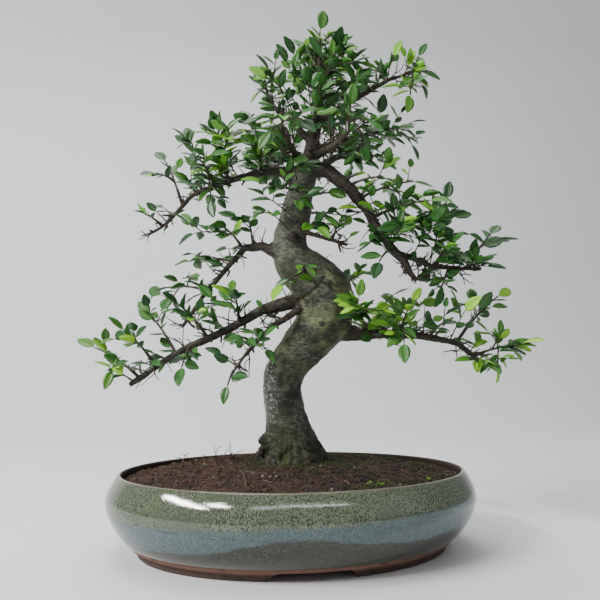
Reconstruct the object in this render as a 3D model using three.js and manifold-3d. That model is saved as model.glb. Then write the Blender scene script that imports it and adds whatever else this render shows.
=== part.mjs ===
// A Chinese elm bonsai in a glazed oval pot.
// Millimetres, +Z up. The pot's long axis is X, and the tree is seen from -Y.
// The origin is under the middle of the whole object, on the surface that the pot stands on.

import * as THREE from "three";
import { mergeVertices } from "three/addons/utils/BufferGeometryUtils.js";
import Module from "manifold-3d";

const wasm = await Module();
wasm.setup();

// Driving dimensions of the pot: half the oval's length and width at its widest, and its height
const POT_HALF_LENGTH = 190;
const POT_HALF_WIDTH = 148.5;
const POT_HEIGHT = 78;
const POT_SEGMENTS = 32;

// The foot ring under the pot, cut away in the middle of the front and of the back
const FOOT_HEIGHT = 8;
const FOOT_CUT_HEIGHT = 7.5;
const FOOT_CUT_TOP = 66;
const FOOT_CUT_BOTTOM = 82;
const FOOT_CUT_REACH = 40;
const FOOT_CUT_INSET = 42;

// Drain holes in the pot's floor, and the mesh squares that lie over them
const FLOOR_TOP = 15;
const DRAIN_RADIUS = 11;
const DRAIN_SEGMENTS = 16;
const DRAIN_X = 78;
const SCREEN_SIZE = 40;
const SCREEN_THICKNESS = 1.2;
const SCREEN_HOLES = 3;
const SCREEN_BAR = 3;

// Soil: its level at the ends, at the front and back, and at the trunk, how the mound falls away,
// and the height and the spacing of its lumps
const SOIL_END_LEVEL = 68;
const SOIL_SIDE_LEVEL = 73;
const SOIL_MOUND_LEVEL = 84;
const SOIL_FALL = 1.8;
const LUMP_HEIGHT = 1.1;
const LUMP_SPACING = [17, 13];

// Clearance between pieces that touch
const GAP = 0.3;

// The tree stands turned in its pot, and its foot is buried this deep
const TREE_TURN = THREE.MathUtils.degToRad(-9.1);
const FOOT_DEPTH = 13;
const TRUNK_SIDES = 12;
const LIMB_SIDES = 6;

// Surface roots: the direction that each runs in, in degrees from the right, and how far it swells the foot
const ROOTS = [
  { angle: 178, swell: 0.14 },
  { angle: 232, swell: 0.1 },
  { angle: 300, swell: 0.08 },
  { angle: 352, swell: 0.12 },
  { angle: 62, swell: 0.12 },
  { angle: 122, swell: 0.1 },
];
const ROOT_SPREAD = 20;

// The roots flatten out by this height
const ROOT_TOP = 112;

// Shoots: the inner part of each is wood, and the rest is the stem of a leafy spray
const WOOD_SHARE = 0.3;
const TWIG_RADIUS = [1.9, 1.5];
const STEM_RADIUS = [1.3, 0.8];
const STEM_SIDES = 3;
const SHOOT_ARCH = 0.09;

// Side stems leave the main one at even steps past the wood, and are a little thinner
const SIDE_STEM_STEP = 0.14;
const SIDE_STEM_SHARE = 0.85;

// Where the first leaf stands on the main stem and on a side stem, as a share of its length
const FIRST_LEAF = 0.4;
const FIRST_SIDE_LEAF = 0.3;

// Leaves, with two teeth along each edge and one at the tip: share of the length, share of half the width
const LEAF_LENGTH = 23;
const LEAF_WIDTH = 13;
const LEAF_HALF_THICKNESS = 0.6;
const LEAF_CUP = 1.3;
const LEAF_DROOP = 2.6;
const LEAF_STEP = 24;
const LEAF_ROOT = 0.6;
const LEAF_MIDDLE = 0.42;
const LEAF_SIZES = [0.82, 1.12];
const LAST_LEAF_SHARE = 0.85;

// How a leaf stands: its lean off the stem in degrees, its rise, and how its face is tipped
const LEAF_LEAN = [38, 68];
const LEAF_RISE = [-0.35, 0.45];
const TIP_LEAF_RISE = [-0.25, 0.1];
const LEAF_EDGE = [
  [0.13, 0.6],
  [0.42, 1.0],
  [0.46, 0.82],
  [0.7, 0.8],
  [0.74, 0.58],
];
const LEAF_TRIES = 9;

// The trunk from its foot to the crown, each point as x, y, z and radius
const TRUNK = [
  [-1, 15, 84, 36],
  [-2, 15, 95, 31],
  [-6, 16, 114, 25.5],
  [-9, 17, 132, 22.3],
  [-12, 18, 153, 21.3],
  [-11, 17, 171, 21.6],
  [-3, 15, 188, 22.3],
  [10, 12, 204, 24],
  [25, 9, 222, 27.5],
  [36, 7, 242, 30],
  [34, 6, 261, 30],
  [19, 6, 279, 27.5],
  [4, 7, 294, 24],
  [-3, 8, 310, 19.9],
  [-3, 9, 327, 17.8],
  [2, 10, 346, 17],
  [6, 10, 366, 15.6],
  [11, 8, 382, 13.5],
];

// The limbs, each with its path as x, y, z and radius, and the sprays that it carries: where along the path
// a spray's shoot leaves, as a share of the path's points, and the tips that the shoot reaches
const LIMBS = {
  leader: {
    path: [[8, 9, 372, 14], [20, 4, 418, 8.5], [28, 0, 455, 5.8], [32, 2, 495, 4], [30, 0, 534, 2.3]],
    sprays: [
      { at: 0.45, tips: [[30, -70, 478]] },
      { at: 0.58, tips: [[8, 50, 544], [62, 60, 544]] },
      { at: 0.7, tips: [[55, -12, 546], [62, -50, 500]] },
      { at: 0.82, tips: [[4, 12, 556]] },
      { at: 1, tips: [[31, 0, 587]] },
    ],
  },
  crown_left: {
    path: [[22, 3, 428, 4.4], [-3, 6, 456, 3.2], [-28, 10, 480, 2.3]],
    sprays: [
      { at: 0.5, tips: [[-31, -45, 436], [-8, -40, 479]] },
      { at: 0.62, tips: [[-31, 65, 497]] },
      { at: 1, tips: [[-34, 5, 522], [-51, -5, 483], [-13, -20, 513]] },
    ],
  },
  crown_right: {
    path: [[28, 0, 451, 4.4], [65, -4, 473, 3.2], [107, -6, 497, 2.5], [125, -8, 502, 2]],
    sprays: [
      { at: 0.35, tips: [[61, -60, 472]] },
      { at: 0.55, tips: [[96, 35, 539]] },
      { at: 1, tips: [[158, -10, 510], [154, 10, 482], [120, -40, 452]], young: true },
    ],
  },
  crown_low_right: {
    path: [[21, 4, 418, 4.4], [63, 10, 436, 3.2], [100, 16, 446, 2.3]],
    sprays: [
      { at: 0.5, tips: [[90, -45, 444], [78, -40, 397]] },
      { at: 1, tips: [[145, 40, 458], [140, -8, 414]] },
    ],
  },
  crown_front_left: {
    path: [[13, 4, 396, 5.2], [-1, -45, 406, 3.4], [-10, -78, 410, 2.1]],
    sprays: [{ at: 1, tips: [[-6, -130, 417], [-36, -95, 395], [24, -120, 409]] }],
  },
  crown_front_right: {
    path: [[16, 2, 409, 5.2], [43, -45, 408, 3.4], [56, -78, 412, 2.1]],
    sprays: [{ at: 1, tips: [[53, -130, 421], [89, -110, 410], [81, -80, 390]] }],
  },
  upper_left: {
    path: [
      [8, 8, 397, 7.2], [-23, 12, 399, 5], [-78, 20, 389, 3.7],
      [-114, 26, 376, 3], [-142, 32, 347, 2.5], [-166, 34, 332, 2.2],
    ],
    sprays: [
      { at: 0.25, tips: [[-32, -25, 438], [-58, 45, 486]] },
      { at: 0.38, tips: [[-85, -15, 457], [-64, -50, 426]], young: true },
      { at: 0.46, tips: [[-101, -45, 406], [-85, -20, 343]] },
      { at: 0.54, tips: [[-123, 45, 464]] },
      { at: 0.68, tips: [[-156, 48, 439], [-163, -5, 400]] },
      { at: 0.86, tips: [[-180, 10, 362]] },
    ],
  },
  middle_left: {
    path: [
      [-10, 4, 302, 7.4], [-34, 6, 314, 5], [-53, 10, 313, 4],
      [-71, 18, 295, 3.3], [-97, 28, 268, 2.7], [-126, 38, 227, 2.2],
    ],
    sprays: [
      { at: 0.3, tips: [[-54, 40, 365]] },
      { at: 0.42, tips: [[-83, -22, 342], [-72, -50, 315], [-127, 10, 330]] },
      { at: 0.56, tips: [[-138, 60, 306]] },
      { at: 0.8, tips: [[-169, 58, 275], [-105, -5, 289], [-158, 74, 238]] },
    ],
  },
  lower_left: {
    path: [
      [18, 4, 258, 9], [-34, -6, 243, 5.4], [-67, -12, 223, 4.6],
      [-103, -20, 206, 4], [-137, -26, 186, 3.5], [-166, -30, 165, 3],
    ],
    sprays: [
      { at: 0.34, tips: [[-58, -50, 264], [-104, 15, 252]] },
      { at: 0.52, tips: [[-123, -60, 257], [-99, -72, 232]] },
      { at: 0.62, tips: [[-111, -66, 172]] },
      { at: 0.7, tips: [[-165, 5, 254]] },
      { at: 0.82, tips: [[-179, -55, 234], [-158, -78, 209]] },
      { at: 0.93, tips: [[-221, -18, 214], [-188, -50, 168]], young: true },
    ],
  },
  front_left: {
    path: [[16, -2, 250, 4.2], [-25, -22, 222, 2.7], [-48, -38, 195, 2.1], [-59, -45, 179, 1.9]],
    sprays: [
      { at: 0.55, tips: [[-57, -82, 216], [-12, -72, 193]] },
      { at: 1, tips: [[-69, -68, 150]] },
    ],
  },
  lower_right: {
    path: [
      [45, 8, 222, 11], [68, 2, 217, 6.6], [94, -8, 217, 4.8],
      [129, -16, 215, 4], [167, -24, 207, 3.3], [189, -30, 186, 2.3],
    ],
    sprays: [
      { at: 0.26, tips: [[60, -48, 262], [80, -66, 238]], young: true },
      { at: 0.4, tips: [[104, 25, 270], [157, 15, 256]], young: true },
      { at: 0.5, tips: [[115, -60, 247], [108, -62, 192]], young: true },
      { at: 0.66, tips: [[152, -76, 231]] },
      { at: 0.8, tips: [[232, 5, 270], [205, 24, 240]] },
      { at: 0.94, tips: [[249, -18, 207], [216, -46, 224], [200, -50, 166]], young: true },
    ],
  },
  upper_right: {
    path: [
      [14, 6, 401, 8.8], [40, -4, 393, 7.6], [60, -12, 373, 6.6], [78, -22, 347, 5.8],
      [99, -34, 306, 4.9], [113, -38, 290, 4], [125, -40, 269, 2.7],
    ],
    sprays: [
      { at: 0.32, tips: [[107, -50, 379]], young: true },
      { at: 0.42, tips: [[148, -8, 387], [131, 14, 368]], young: true },
      { at: 0.54, tips: [[152, -72, 349]], young: true },
      { at: 0.62, tips: [[186, -20, 344]] },
      { at: 0.7, tips: [[76, -82, 276]] },
    ],
  },
  upper_right_fork: {
    path: [[107, -36, 298, 3.4], [143, -30, 285, 2.8], [181, -20, 284, 2.2], [198, -16, 284, 1.9]],
    sprays: [
      { at: 0.35, tips: [[156, -84, 305]] },
      { at: 0.5, tips: [[143, -45, 247]] },
      { at: 0.7, tips: [[226, 14, 340], [200, -62, 306]] },
    ],
  },
  right_stub: {
    path: [[4, 0, 330, 3], [30, -12, 320, 2.4], [58, -18, 310, 2]],
    sprays: [{ at: 0.7, tips: [[54, -48, 342]], young: true }],
  },
  trunk_front: {
    path: [[12, -10, 278, 3.2], [12, -28, 282, 2]],
    sprays: [{ at: 1, tips: [[4, -62, 290], [26, -62, 276]], young: true }],
  },
  back_left: {
    path: [[10, 14, 376, 6.4], [-16, 60, 413, 4.4], [-36, 98, 434, 2.9]],
    sprays: [
      { at: 0.65, tips: [[8, 112, 470], [-87, 110, 440]] },
      { at: 1, tips: [[-53, 160, 474], [-12, 150, 423]] },
    ],
  },
  back_right: {
    path: [[12, 12, 391, 6.4], [49, 60, 430, 4.4], [80, 98, 450, 2.9]],
    sprays: [
      { at: 0.65, tips: [[46, 112, 498], [127, 105, 432]] },
      { at: 1, tips: [[105, 160, 501], [67, 152, 429]] },
    ],
  },
  back_low: {
    path: [[35, 25, 257, 7.6], [48, 70, 273, 5], [56, 108, 276, 3.1]],
    sprays: [
      { at: 0.65, tips: [[100, 104, 306], [4, 120, 262]] },
      { at: 1, tips: [[76, 168, 305], [44, 156, 240]] },
    ],
  },
};

// Materials
const finish = (color, roughness) => new THREE.MeshStandardMaterial({ color, roughness, metalness: 0 });
const GLAZE = 0x7d8468;
const SOIL = 0x3a241a;
const MESH_PLASTIC = 0x20262a;
const BARK = 0x4a4436;
const LEAF_GREEN = 0x2f6b2c;
const YOUNG_GREEN = 0x7db23c;

const UP = new THREE.Vector3(0, 0, 1);
const vector = (p) => new THREE.Vector3(p[0], p[1], p[2]);

// Random numbers that are the same on every run: the seed gives the whole series
function drawsFrom(seed) {
  let state = seed * 7919 + 17;
  return (low, high) => {
    state = (state * 16807) % 2147483647;
    return low + ((high - low) * state) / 2147483647;
  };
}

// A closed solid from a geometry, and a geometry from a solid
function solid(geometry) {
  const bare = geometry.clone();
  bare.deleteAttribute("normal");
  bare.deleteAttribute("uv");
  const merged = mergeVertices(bare, 1e-4);
  return new wasm.Manifold(
    new wasm.Mesh({
      numProp: 3,
      vertProperties: merged.attributes.position.array,
      triVerts: new Uint32Array(merged.index.array),
    }),
  );
}

// Whether a joined body is free of slivers: no two corners as close as this, and no edge as short
const SLIVER = 0.006;

function isClean(body) {
  const { vertProperties, triVerts, numProp } = body.getMesh();
  const corner = (vertex) => new THREE.Vector3().fromArray(vertProperties, numProp * vertex);
  const count = vertProperties.length / numProp;
  const cells = new Set();
  for (let vertex = 0; vertex < count; vertex++) {
    cells.add(corner(vertex).divideScalar(SLIVER).round().toArray().join());
  }
  if (cells.size < count) return false;
  return triVerts.every((vertex, i) => {
    const next = triVerts[i % 3 === 2 ? i - 2 : i + 1];
    return corner(vertex).distanceTo(corner(next)) > SLIVER;
  });
}

// Joins a part to a body. Where that leaves a sliver, the part is made again, turned a little.
const JOIN_TRIES = 12;

function join(body, makePart) {
  let joined;
  for (let attempt = 0; attempt < JOIN_TRIES; attempt++) {
    joined = body.add(solid(makePart(0.17 * attempt)));
    if (isClean(joined)) break;
  }
  return joined;
}

function geometryOf(body) {
  const { vertProperties, triVerts, numProp } = body.getMesh();
  const corners = new Float32Array(triVerts.length * 3);
  triVerts.forEach((vertex, i) => {
    for (let axis = 0; axis < 3; axis++) corners[3 * i + axis] = vertProperties[numProp * vertex + axis];
  });
  const geometry = new THREE.BufferGeometry();
  geometry.setAttribute("position", new THREE.BufferAttribute(corners, 3));
  geometry.computeVertexNormals();
  return geometry;
}

function fromFaces(points, faces) {
  const geometry = new THREE.BufferGeometry();
  geometry.setAttribute("position", new THREE.Float32BufferAttribute(points.flat(), 3));
  geometry.setIndex(faces.flat());
  return geometry;
}

// Rings of equal count joined into a closed surface. An end is a single point or a flat ring.
function joinRings(rings) {
  const points = [];
  const faces = [];
  const starts = rings.map((ring) => {
    const start = points.length;
    points.push(...ring);
    return start;
  });
  for (let i = 0; i + 1 < rings.length; i++) {
    const [low, high] = [starts[i], starts[i + 1]];
    const [lowCount, highCount] = [rings[i].length, rings[i + 1].length];
    const count = Math.max(lowCount, highCount);
    for (let j = 0; j < count; j++) {
      const k = (j + 1) % count;
      if (lowCount > 1) faces.push([low + j, low + k, high + (highCount > 1 ? k : 0)]);
      if (highCount > 1) faces.push([low + (lowCount > 1 ? j : 0), high + k, high + j]);
    }
  }
  const first = rings[0].length;
  for (let j = 1; j + 1 < first; j++) faces.push([0, j + 1, j]);
  const last = starts[rings.length - 1];
  for (let j = 1; j + 1 < rings[rings.length - 1].length; j++) faces.push([last, last + j, last + j + 1]);
  return fromFaces(points, faces);
}

// An oval ring, set in from the pot's widest outline. An inset of the half width or more is the middle point.
function ovalRing(inset, z) {
  if (inset >= POT_HALF_WIDTH) return [[0, 0, typeof z === "function" ? z(0, 0) : z]];
  return Array.from({ length: POT_SEGMENTS }, (_, i) => {
    const angle = (2 * Math.PI * i) / POT_SEGMENTS;
    const x = (POT_HALF_LENGTH - inset) * Math.cos(angle);
    const y = (POT_HALF_WIDTH - inset) * Math.sin(angle);
    return [x, y, typeof z === "function" ? z(x, y) : z];
  });
}

// The inside of the pot, from the floor up to the lip, as inset and height
const INNER_WALL = [
  [36, FLOOR_TOP],
  [20, 22],
  [12, 35],
  [8, 50],
  [10, 62],
  [16, POT_HEIGHT - 1.5],
];

// The outside of the pot, from under the foot ring up to the rim
const OUTER_WALL = [
  [44, FOOT_CUT_HEIGHT],
  [43, 0],
  [32, 0],
  [30, FOOT_HEIGHT],
  [25, 11],
  [16, 18.5],
  [9, 28],
  [2.5, 40],
  [0, 50],
  [1, 58],
  [4.5, 66],
  [9, 74],
  [12.5, POT_HEIGHT],
];

function makePot() {
  const centre = POT_HALF_WIDTH;
  const profile = [
    [centre, FOOT_CUT_HEIGHT],
    ...OUTER_WALL,
    ...INNER_WALL.slice().reverse(),
    [centre, FLOOR_TOP],
  ];
  let pot = solid(joinRings(profile.map(([inset, z]) => ovalRing(inset, z))));
  for (const side of [-1, 1]) {
    const drain = new THREE.CylinderGeometry(DRAIN_RADIUS, DRAIN_RADIUS, 2 * FLOOR_TOP, DRAIN_SEGMENTS);
    drain.rotateX(Math.PI / 2);
    drain.translate(side * DRAIN_X, 0, FLOOR_TOP);
    pot = pot.subtract(solid(drain));
    pot = pot.subtract(solid(footCut(side)));
  }
  return geometryOf(pot);
}

// The gap between two feet, wider at the bottom, at the front for side -1 and at the back for side 1
function footCut(side) {
  const below = 5;
  const slope = (FOOT_CUT_BOTTOM - FOOT_CUT_TOP) / 2 / FOOT_CUT_HEIGHT;
  const bottom = FOOT_CUT_BOTTOM / 2 + slope * below;
  const outline = new THREE.Shape([
    new THREE.Vector2(-bottom, -below),
    new THREE.Vector2(bottom, -below),
    new THREE.Vector2(FOOT_CUT_TOP / 2, FOOT_CUT_HEIGHT),
    new THREE.Vector2(-FOOT_CUT_TOP / 2, FOOT_CUT_HEIGHT),
  ]);
  const cut = new THREE.ExtrudeGeometry(outline, { depth: FOOT_CUT_REACH, bevelEnabled: false });
  cut.rotateX(Math.PI / 2);
  cut.translate(0, side * (POT_HALF_WIDTH - FOOT_CUT_INSET) + FOOT_CUT_REACH / 2, 0);
  return cut;
}

// A square of plastic mesh, lying on the pot's floor
function makeScreen(x) {
  let screen = solid(new THREE.BoxGeometry(SCREEN_SIZE, SCREEN_SIZE, SCREEN_THICKNESS));
  const step = (SCREEN_SIZE - SCREEN_BAR) / SCREEN_HOLES;
  for (let i = 0; i < SCREEN_HOLES; i++) {
    for (let j = 0; j < SCREEN_HOLES; j++) {
      const hole = new THREE.BoxGeometry(step - SCREEN_BAR, step - SCREEN_BAR, 2 * SCREEN_THICKNESS);
      hole.translate((i - (SCREEN_HOLES - 1) / 2) * step, (j - (SCREEN_HOLES - 1) / 2) * step, 0);
      screen = screen.subtract(solid(hole));
    }
  }
  return geometryOf(screen).translate(x, 0, FLOOR_TOP + GAP + SCREEN_THICKNESS / 2);
}

// The soil's surface: a mound that is highest at the trunk
function soilLevel(x, y) {
  const reach = Math.hypot(x / POT_HALF_LENGTH, y / POT_HALF_WIDTH);
  const end = reach > 0 ? Math.abs(x / POT_HALF_LENGTH) / reach : 0;
  const edge = SOIL_SIDE_LEVEL + (SOIL_END_LEVEL - SOIL_SIDE_LEVEL) * end * end;
  const lumps = LUMP_HEIGHT * Math.sin(x / LUMP_SPACING[0] + 1) * Math.cos(y / LUMP_SPACING[1]) * reach;
  return edge + (SOIL_MOUND_LEVEL - edge) * Math.max(0, 1 - reach ** SOIL_FALL) + lumps;
}

function makeSoil(foot) {
  const wall = INNER_WALL.slice(0, 5).map(([inset, z]) => ovalRing(inset + GAP, z + GAP));
  const surface = [16.6, 45, 76].map((inset) => ovalRing(inset, soilLevel));
  const centre = POT_HALF_WIDTH;
  const floor = ovalRing(centre, FLOOR_TOP + GAP);
  let soil = solid(joinRings([floor, ...wall, ...surface, ovalRing(centre, soilLevel)]));
  for (const side of [-1, 1]) {
    const room = SCREEN_SIZE + 2 * GAP;
    const pocket = new THREE.BoxGeometry(room, room, 2 * (SCREEN_THICKNESS + GAP));
    pocket.translate(side * DRAIN_X, 0, FLOOR_TOP + GAP);
    soil = soil.subtract(solid(pocket));
  }
  return geometryOf(soil.subtract(foot));
}

// A tube through stations, each with its place p, radius r and, where it is given, direction t.
// The turn rolls its corners round the line.
function tube(stations, sides, turn = 0, swell = () => 1) {
  const normal = new THREE.Vector3();
  const rings = stations.map((station, i) => {
    const before = stations[Math.max(i - 1, 0)].p;
    const after = stations[Math.min(i + 1, stations.length - 1)].p;
    const along = station.t ? station.t.clone() : after.clone().sub(before).normalize();
    if (i === 0) normal.set(1, 0, 0);
    if (i === 0 && Math.abs(along.x) > 0.8) normal.set(0, 0, 1);
    normal.addScaledVector(along, -normal.dot(along)).normalize();
    const across = along.clone().cross(normal);
    return Array.from({ length: sides }, (_, j) => {
      const angle = (2 * Math.PI * j) / sides + turn;
      const r = station.r * swell(station, angle);
      const point = station.p.clone();
      point.addScaledVector(normal, r * Math.cos(angle));
      point.addScaledVector(across, r * Math.sin(angle));
      return point.toArray();
    });
  });
  return joinRings(rings);
}

// How much the surface roots widen the trunk's foot at an angle
function rootSwell(station, angle) {
  const degrees = THREE.MathUtils.radToDeg(angle);
  const sum = ROOTS.reduce((total, root) => {
    const off = ((degrees - root.angle + 540) % 360) - 180;
    return total + root.swell * Math.exp(-((off / ROOT_SPREAD) ** 2));
  }, 0);
  return 1 + station.flare * sum;
}

const stationsOf = (path) => path.map((row) => ({ p: vector(row), r: row[3] }));

function trunkStations() {
  const stations = stationsOf(TRUNK);
  const rise = ROOT_TOP - SOIL_MOUND_LEVEL;
  for (const station of stations) station.flare = Math.max(0, (ROOT_TOP - station.p.z) / rise) ** 2;
  return [footStation(SOIL_MOUND_LEVEL - FOOT_DEPTH, 0), ...stations];
}

// The buried foot goes straight down, so that the soil around it has a plain hole
function footStation(z, extra) {
  const [x, y, , radius] = TRUNK[0];
  return { p: new THREE.Vector3(x, y, z), r: radius + extra, t: UP, flare: 1 };
}

function footHole() {
  const bottom = SOIL_MOUND_LEVEL - FOOT_DEPTH - GAP;
  return tube([footStation(bottom, GAP), footStation(SOIL_MOUND_LEVEL + 3, GAP)], TRUNK_SIDES, 0, rootSwell);
}

// The point at a share of the way along a path's points
function pointAt(path, share) {
  const place = share * (path.length - 1);
  const index = Math.min(Math.floor(place), path.length - 2);
  return vector(path[index]).lerp(vector(path[index + 1]), place - index);
}

// A shoot's line from its root towards a leaf tip, arched upwards, ending where the last leaf starts
function shootLine(root, tip) {
  const reach = tip.clone().sub(root);
  const length = reach.length();
  const end = root.clone().addScaledVector(reach, 1 - (LAST_LEAF_SHARE * LEAF_LENGTH) / length);
  const middle = root.clone().lerp(end, 0.5);
  middle.z += SHOOT_ARCH * length;
  return new THREE.QuadraticBezierCurve3(root, middle, end);
}

function lineStations(line, shares, radii, start = 0) {
  return shares.map((share, i) => {
    const t = line.getTangent(share);
    const p = line.getPoint(share);
    if (i === 0) p.addScaledVector(t, start);
    return { p, t, r: THREE.MathUtils.lerp(radii[0], radii[1], i / (shares.length - 1)) };
  });
}

// One leaf: a toothed outline, with one point over its middle and one under it. Its base is at the origin
// and it points along X. The margin makes a fatter one, to test that a leaf is clear of its neighbours.
function leafGeometry(size, margin) {
  const length = LEAF_LENGTH * size + margin;
  const half = (LEAF_WIDTH * size) / 2 + margin;
  const edge = (side) => LEAF_EDGE.map(([a, w]) => [a * length, side * w * half, -LEAF_DROOP * a * a]);
  const outline = [[0, 0, 0], ...edge(-1), [length, 0, -LEAF_DROOP], ...edge(1).reverse()];
  const thick = LEAF_HALF_THICKNESS + margin;
  const over = [LEAF_MIDDLE * length, 0, -LEAF_CUP + thick];
  const under = [LEAF_MIDDLE * length, 0, -LEAF_CUP - thick];
  const top = outline.length;
  const faces = outline.flatMap((_, i) => {
    const next = (i + 1) % top;
    return [[i, next, top], [next, i, top + 1]];
  });
  return fromFaces([...outline, over, under], faces);
}

// The matrix that puts a leaf on a stem: base, direction, and the way that its face looks
function leafPlace(base, direction, face) {
  const x = direction.clone().normalize();
  const z = face.clone().addScaledVector(x, -face.dot(x)).normalize();
  const y = z.clone().cross(x);
  const root = base.clone().addScaledVector(x, -LEAF_ROOT);
  return new THREE.Matrix4().makeBasis(x, y, z).setPosition(root);
}

const boxOf = (geometry) => {
  geometry.computeBoundingBox();
  return geometry.boundingBox;
};

// What is already in place, as solids with their boxes. Each is marked with the spray that it belongs to.
const placed = [];

function isClear(geometry, owner) {
  const box = boxOf(geometry);
  const isOwnStem = (other) => other.stem && other.owner === owner;
  const near = placed.filter((other) => other.box.intersectsBox(box) && !isOwnStem(other));
  if (near.length === 0) return true;
  const test = solid(geometry);
  return near.every((other) => test.intersect(other.body).isEmpty());
}

function place(geometry, owner, stem) {
  placed.push({ body: solid(geometry), box: boxOf(geometry).clone(), owner, stem });
}

// A leaf's own way off the stem: to one side, forwards, and a little up or down
function leafMatrix(line, share, side, draw) {
  const along = line.getTangent(share);
  const across = along.clone().cross(UP);
  if (across.length() < 0.3) across.set(1, 0.4, 0);
  across.normalize();
  const lift = along.clone().cross(across).negate();
  const lean = THREE.MathUtils.degToRad(draw(...LEAF_LEAN));
  const direction = along.clone().multiplyScalar(Math.cos(lean));
  direction.addScaledVector(across, side * Math.sin(lean));
  direction.addScaledVector(UP, draw(...LEAF_RISE));
  const face = UP.clone().addScaledVector(lift, draw(-0.5, 0.9));
  face.addScaledVector(across, draw(-0.7, 0.7));
  face.y -= draw(0, 0.7);
  return leafPlace(line.getPoint(share), direction, face);
}

function tipMatrix(line, draw) {
  const along = line.getTangent(1);
  const direction = along.clone().addScaledVector(UP, draw(...TIP_LEAF_RISE));
  const face = new THREE.Vector3(draw(-0.5, 0.5), draw(-0.9, 0.1), 1);
  return leafPlace(line.getPoint(1).addScaledVector(along, -1), direction, face);
}

// Grows the leaves of one stem on a body: alternate, and one at its tip. A leaf that would cross another
// or leave a sliver is turned, and left out if no turn will do.
function growLeaves(body, line, from, owner, draw) {
  const count = Math.max(1, Math.round((line.getLength() * (1 - from)) / LEAF_STEP));
  let grown = body;
  for (let i = 0; i <= count; i++) {
    const share = from + ((1 - from) * (i + 0.25)) / count;
    for (let attempt = 0; attempt < LEAF_TRIES; attempt++) {
      const side = (i + attempt) % 2 ? 1 : -1;
      const matrix = i === count ? tipMatrix(line, draw) : leafMatrix(line, share, side, draw);
      const size = draw(...LEAF_SIZES);
      if (!isClear(leafGeometry(size, GAP).applyMatrix4(matrix), owner)) continue;
      const leaf = leafGeometry(size, 0).applyMatrix4(matrix);
      const joined = grown.add(solid(leaf));
      if (!isClean(joined)) continue;
      place(leaf, owner, false);
      grown = joined;
      break;
    }
  }
  return grown;
}

// Every spray: its shoot's lines, and the wood that it stands on
const SPRAYS = Object.entries(LIMBS).flatMap(([limb, { path, sprays }]) =>
  sprays.map((spray, index) => {
    const root = pointAt(path, spray.at);
    const main = shootLine(root, vector(spray.tips[0]));
    const sides = spray.tips.slice(1).map((tip, i) => {
      return shootLine(main.getPoint(WOOD_SHARE + SIDE_STEM_STEP * (i + 1)), vector(tip));
    });
    return { name: `spray_${limb}_${index + 1}`, main, sides, young: spray.young };
  }),
);

function makeWood() {
  let wood = solid(tube(trunkStations(), TRUNK_SIDES, 0, rootSwell));
  for (const { path } of Object.values(LIMBS)) {
    wood = join(wood, (turn) => tube(stationsOf(path), LIMB_SIDES, turn));
  }
  for (const { main } of SPRAYS) {
    const stations = lineStations(main, [0, WOOD_SHARE], TWIG_RADIUS);
    wood = join(wood, (turn) => tube(stations, STEM_SIDES, turn));
  }
  return wood;
}

// The stems of a spray, joined where they fork
function makeStems({ main, sides }) {
  const shares = [0, 1, 2, 3].map((i) => WOOD_SHARE + ((1 - WOOD_SHARE) * i) / 3);
  const thinner = STEM_RADIUS.map((radius) => radius * SIDE_STEM_SHARE);
  return sides.reduce(
    (body, line) => join(body, (turn) => tube(lineStations(line, [0, 0.5, 1], thinner), STEM_SIDES, turn)),
    solid(tube(lineStations(main, shares, STEM_RADIUS, GAP), STEM_SIDES)),
  );
}

function growSpray({ main, sides }, owner) {
  const draw = drawsFrom(owner + 1);
  const body = growLeaves(stems[owner], main, FIRST_LEAF, owner, draw);
  return sides.reduce((sum, line) => growLeaves(sum, line, FIRST_SIDE_LEAF, owner, draw), body);
}

function named(name, geometry, material) {
  const mesh = new THREE.Mesh(geometry, material);
  mesh.name = name;
  return mesh;
}

const group = new THREE.Group();

// The tree, with its sprays of leaves
const wood = makeWood();
const tree = new THREE.Group();
tree.rotation.z = TREE_TURN;
tree.add(named("trunk_and_limbs", geometryOf(wood), finish(BARK, 0.75)));
place(geometryOf(wood), -1, false);

const stems = SPRAYS.map(makeStems);
stems.forEach((body, owner) => place(geometryOf(body), owner, true));
SPRAYS.forEach((spray, owner) => {
  const color = spray.young ? YOUNG_GREEN : LEAF_GREEN;
  tree.add(named(spray.name, geometryOf(growSpray(spray, owner)), finish(color, 0.4)));
});

// The pot, the soil around the tree's foot, and the mesh squares over the drain holes
const foot = footHole().rotateZ(TREE_TURN);
group.add(named("pot", makePot(), finish(GLAZE, 0.25)));
group.add(named("soil", makeSoil(solid(foot)), finish(SOIL, 0.95)));
group.add(named("drain_screen_left", makeScreen(-DRAIN_X), finish(MESH_PLASTIC, 0.6)));
group.add(named("drain_screen_right", makeScreen(DRAIN_X), finish(MESH_PLASTIC, 0.6)));
group.add(tree);

// The origin goes under the middle of the whole object
group.updateMatrixWorld(true);
const middle = new THREE.Box3().setFromObject(group, true).getCenter(new THREE.Vector3());
group.position.set(-middle.x, -middle.y, 0);

export default group;
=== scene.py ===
# %% [markdown]
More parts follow.
